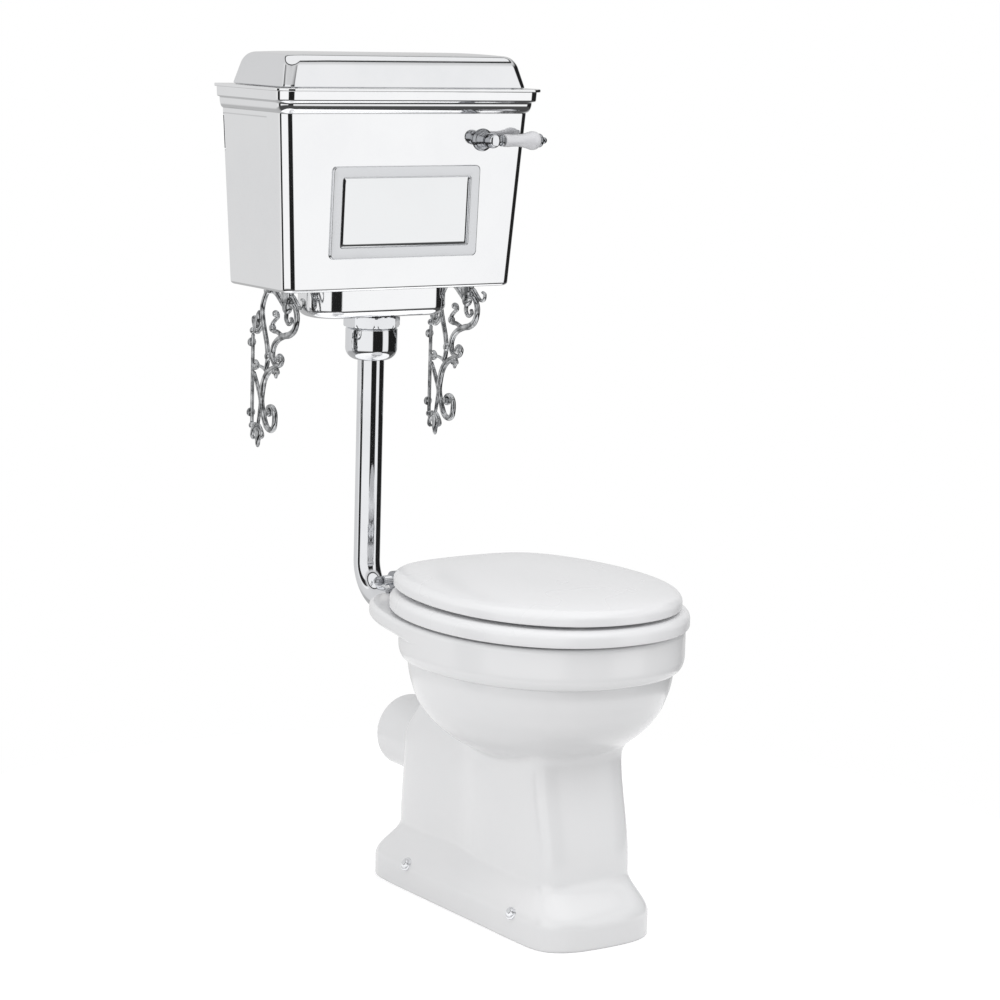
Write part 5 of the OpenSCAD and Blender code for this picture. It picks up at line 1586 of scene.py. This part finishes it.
    def build(self, side: int) -> None:
        """Makes one bracket.

        Args:
            side: -1 for the left one and 1 for the right one.
        """
        x = side * self.span / 2
        strokes = self.strokes()
        for leaf in LEAVES:
            strokes += self.leaf(*leaf)
        sheets = [self.bar(stroke, x) for stroke in strokes]
        sheets += [self.ball(u, v, r, self.thick / 2 + proud, x) for u, v, r, proud in BALLS]
        sheets += [self.pad(u, v, 0, half, x) for u, v, half in PADS]
        lug = rounded([(2.25, 0.2), (6.5, 0.2), (6.5, 3), (2.25, 3)], 0.5, 3, closed=True)
        sheets += [Sheet(turned(lug, (x, 0, v + self.cistern.low), (0, -1, 0), 40), looped=True) for v in LUGS]
        name = "bracket_left" if side < 0 else "bracket_right"
        # The casting's near-black patches are painted dark reflection.
        make_piece(name + "_cast", sheets, CASTING_PAINTED_DARK, replaces=[name], sharp=60)


# The nodes that keep their own shape


CARRIED: dict[str, Finish] = {
    "floor_screws": CHROME, "seat_buffers": BUFFER_WHITE, "seat_straps": CHROME,
    "seat_screws": CHROME, "lid_buffers": BUFFER_WHITE, "lid_straps": CHROME, "lid_screws": CHROME,
    "hinge_washers": BLACK_RUBBER, "hinge_nuts": CHROME, "lever_washer": BLACK_RUBBER, "lever_back_nut": CHROME,
    "siphon_lift_arm": BRASS, "lift_link": CHROME, "siphon_body": SIPHON_PLASTIC, "siphon_piston": SIPHON_PLASTIC,
    "siphon_diaphragm": BLACK_RUBBER, "siphon_washer": BLACK_RUBBER, "flush_pipe_washer": BLACK_RUBBER,
    "flush_cone": PALE_RUBBER, "fill_valve_body": BRASS, "fill_valve_washers": BLACK_RUBBER,
    "fill_valve_back_nut": BRASS, "valve_piston": BRASS, "float_arm_pin": CHROME, "float_arm": BRASS,
    "float_ball": SIPHON_PLASTIC,
}


def dress_nodes() -> None:
    """Gives each node that keeps its own shape its finish."""
    for name, finish in CARRIED.items():
        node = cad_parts[name]
        node.data.materials.clear()
        node.data.materials.append(finish.material())
        log.info("dressed %s with %s", name, finish.name)


# Studio


AROUND = (
    (-180, 0.72), (-150, 0.74), (-127, 0.80), (-125, 1.0), (-119, 1.0), (-117, 0.02), (-97, 0.02), (-95, 1.0),
    (-27, 1.0), (-24, 0.015), (19, 0.015), (22, 1.0), (47, 1.0), (50, 0.015), (116, 0.015),
    (120, 0.55), (150, 0.68), (180, 0.72))
HIGH = ((0.0, 0.80), (0.62, 0.72), (0.66, 0.72), (0.67, 0.03), (0.73, 0.03), (0.76, 1.0), (1.0, 1.0))
LOW = ((-180, 0.5), (-130, 0.45), (-110, 0.07), (95, 0.07), (120, 0.4), (180, 0.5))


@dataclass(frozen=True)
class Lamp:
    """A soft square lamp: where it hangs, in metres, the length of its side and its power in watts."""

    name: str
    at: tuple[float, float, float]
    size: float
    watts: float


LAMPS = (Lamp("key", (0.2, -2.0, 3.6), 2.0, 42.0), Lamp("fill", (-3.6, -0.1, 1.0), 2.2, 23.0))


@dataclass
class Studio:
    """A white room with a pale floor, soft lamps, dark flags for the metal to mirror, and a camera."""

    azimuth: float = 34.73
    pitch: float = 9.58
    roll: float = 1.6
    lens: float = 109.4
    from_wall: tuple[float, float, float] = (-2.28992, -3.71510, 1.22623)
    world_level: float = 0.825
    floor_r: float = 0.9
    floor_glow: float = 0.54
    sensor: float = 36.0
    look_at: tuple[float, float, float] = (0.0, 0.0, 0.6)

    def camera(self) -> None:
        """Places the camera by its azimuth, its pitch downwards and its roll."""
        data = bpy.data.cameras.new("camera")
        data.lens, data.sensor_width = self.lens, self.sensor
        data.clip_start, data.clip_end = 0.1, 60.0
        camera = add_object("camera", data)
        az, p, r = (math.radians(v) for v in (self.azimuth, self.pitch, self.roll))
        ahead = Vector((math.sin(az) * math.cos(p), math.cos(az) * math.cos(p), -math.sin(p)))
        right = Vector((math.cos(az), -math.sin(az), 0.0))
        up = right.cross(ahead)
        right, up = right * math.cos(r) + up * math.sin(r), up * math.cos(r) - right * math.sin(r)
        turn = Matrix((right, up, -ahead)).transposed().to_4x4()
        place_m = Vector(self.from_wall) + Vector((0.0, WALL_Y, 0.0))
        camera.matrix_world = Matrix.Translation(place_m) @ turn
        bpy.context.scene.camera = camera

    def backdrop_seen(self, tree: Tree) -> bpy.types.NodeSocket:
        """Gives 1 for the rays that show the background: the camera's, mirrored ones and ones through glass.

        Args:
            tree: The tree to work in.

        Returns:
            The output that says so.
        """
        path = tree.node("ShaderNodeLightPath")
        mirrored = tree.maths("MAXIMUM", path.outputs["Is Glossy Ray"], path.outputs["Is Transmission Ray"])
        return tree.maths("MAXIMUM", path.outputs["Is Camera Ray"], mirrored)

    def world(self) -> None:
        """Makes the room white, lights the object at the plain level, and gives metal flags to mirror.

        What metal mirrors goes by the angle round the object, measured from straight ahead of it. High up
        it is grey with a black edge, and low down it is dark.
        """
        world = bpy.data.worlds.new("studio")
        bpy.context.scene.world = world
        tree = empty_tree(world)
        way = tree.node("ShaderNodeTexCoord").outputs["Generated"]
        split = tree.node("ShaderNodeSeparateXYZ", {0: way})
        x, y, z = (split.outputs[k] for k in range(3))
        turn = tree.maths("MULTIPLY", tree.maths("ARCTAN2", x, tree.maths("MULTIPLY", y, -1.0)), 180 / math.pi)
        around = self.stepped(tree, turn, AROUND)
        high = self.stepped(tree, z, HIGH)
        level = tree.mix(tree.fit(z, 0.42, 0.60, 0.0, 1.0), around, high)
        low = self.stepped(tree, turn, LOW)
        level = tree.mix(tree.fit(z, -0.28, -0.38, 0.0, 1.0), level, low)
        path = tree.node("ShaderNodeLightPath")
        plain = (self.world_level, self.world_level, self.world_level * 1.005, 1.0)
        colour = tree.mix(self.backdrop_seen(tree), plain, (1.0, 1.0, 1.0, 1.0))
        colour = tree.mix(path.outputs["Is Glossy Ray"], colour, level)
        background = tree.node("ShaderNodeBackground", {"Color": colour, "Strength": 1.0})
        tree.node("ShaderNodeOutputWorld", {"Surface": background.outputs[0]})

    def stepped(self, tree: Tree, value: object, stops: Sequence[tuple[float, float]]) -> bpy.types.NodeSocket:
        """Gives the grey level that belongs to a value, between stops.

        Args:
            tree: The tree to work in.
            value: The output that picks the level.
            stops: Pairs of a value and its level.

        Returns:
            The level.
        """
        first, last = stops[0][0], stops[-1][0]
        node = tree.node("ShaderNodeValToRGB", {0: tree.fit(value, first, last, 0.0, 1.0)})
        band = node.color_ramp
        for edge, (_, level) in ((band.elements[0], stops[0]), (band.elements[1], stops[-1])):
            edge.color = (level, level, level, 1.0)
        for at, level in stops[1:-1]:
            band.elements.new((at - first) / (last - first)).color = (level, level, level, 1.0)
        return node.outputs[0]

    def floor(self) -> None:
        """Lays the pale round floor, which shows as white but keeps the object's soft shadow."""
        mesh = bpy.data.meshes.new("floor")
        a = circle_angles(96)
        corners = np.column_stack([self.floor_r * np.cos(a), self.floor_r * np.sin(a), np.zeros(96)])
        mesh.from_pydata(corners.tolist(), [], [tuple(range(96))])
        floor = add_object("floor", mesh)
        material = bpy.data.materials.new("pale_floor")
        tree = empty_tree(material)
        grain = tree.noise(tree.here(), 3.0)
        matte = tree.node("ShaderNodeBsdfDiffuse",
                          {"Color": tree.mix(grain, (0.62, 0.62, 0.62, 1), (0.64, 0.64, 0.64, 1))})
        glow = tree.node("ShaderNodeEmission", {"Color": (1, 1, 1, 1), "Strength": self.floor_glow})
        both = tree.node("ShaderNodeAddShader", {0: matte.outputs[0], 1: glow.outputs[0]})
        pick = tree.node("ShaderNodeMixShader", {0: self.backdrop_seen(tree), 1: matte.outputs[0], 2: both.outputs[0]})
        tree.node("ShaderNodeOutputMaterial", {"Surface": pick.outputs[0]})
        mesh.materials.append(material)

    def hang(self, lamp: Lamp) -> None:
        """Hangs a lamp, which points at the middle of the object and isn't seen in metal.

        Args:
            lamp: The lamp.
        """
        data = bpy.data.lights.new(lamp.name, "AREA")
        data.size, data.energy = lamp.size, lamp.watts
        hung = add_object(lamp.name, data)
        hung.location = lamp.at
        hung.rotation_euler = (Vector(self.look_at) - Vector(lamp.at)).to_track_quat("-Z", "Y").to_euler()
        hung.visible_glossy = False
        hung.visible_camera = False

    def build(self) -> None:
        """Sets up the camera, world, floor and lamps."""
        bpy.context.scene.view_settings.view_transform = "Standard"
        self.camera()
        self.world()
        self.floor()
        for lamp in LAMPS:
            self.hang(lamp)


def main() -> None:
    logging.basicConfig(level=logging.INFO, format="%(name)s: %(message)s")
    pan = Pan()
    pan.build()
    Seat(pan).build()
    Hinge(pan).build()
    cistern = Cistern()
    cistern.build()
    NamePlate(cistern).build()
    Lever(cistern).build()
    FlushPipe(cistern, pan).build()
    bracket = Bracket(cistern)
    for side in (-1, 1):
        bracket.build(side)
    dress_nodes()
    Studio().build()


if __name__ == "__main__":
    main()
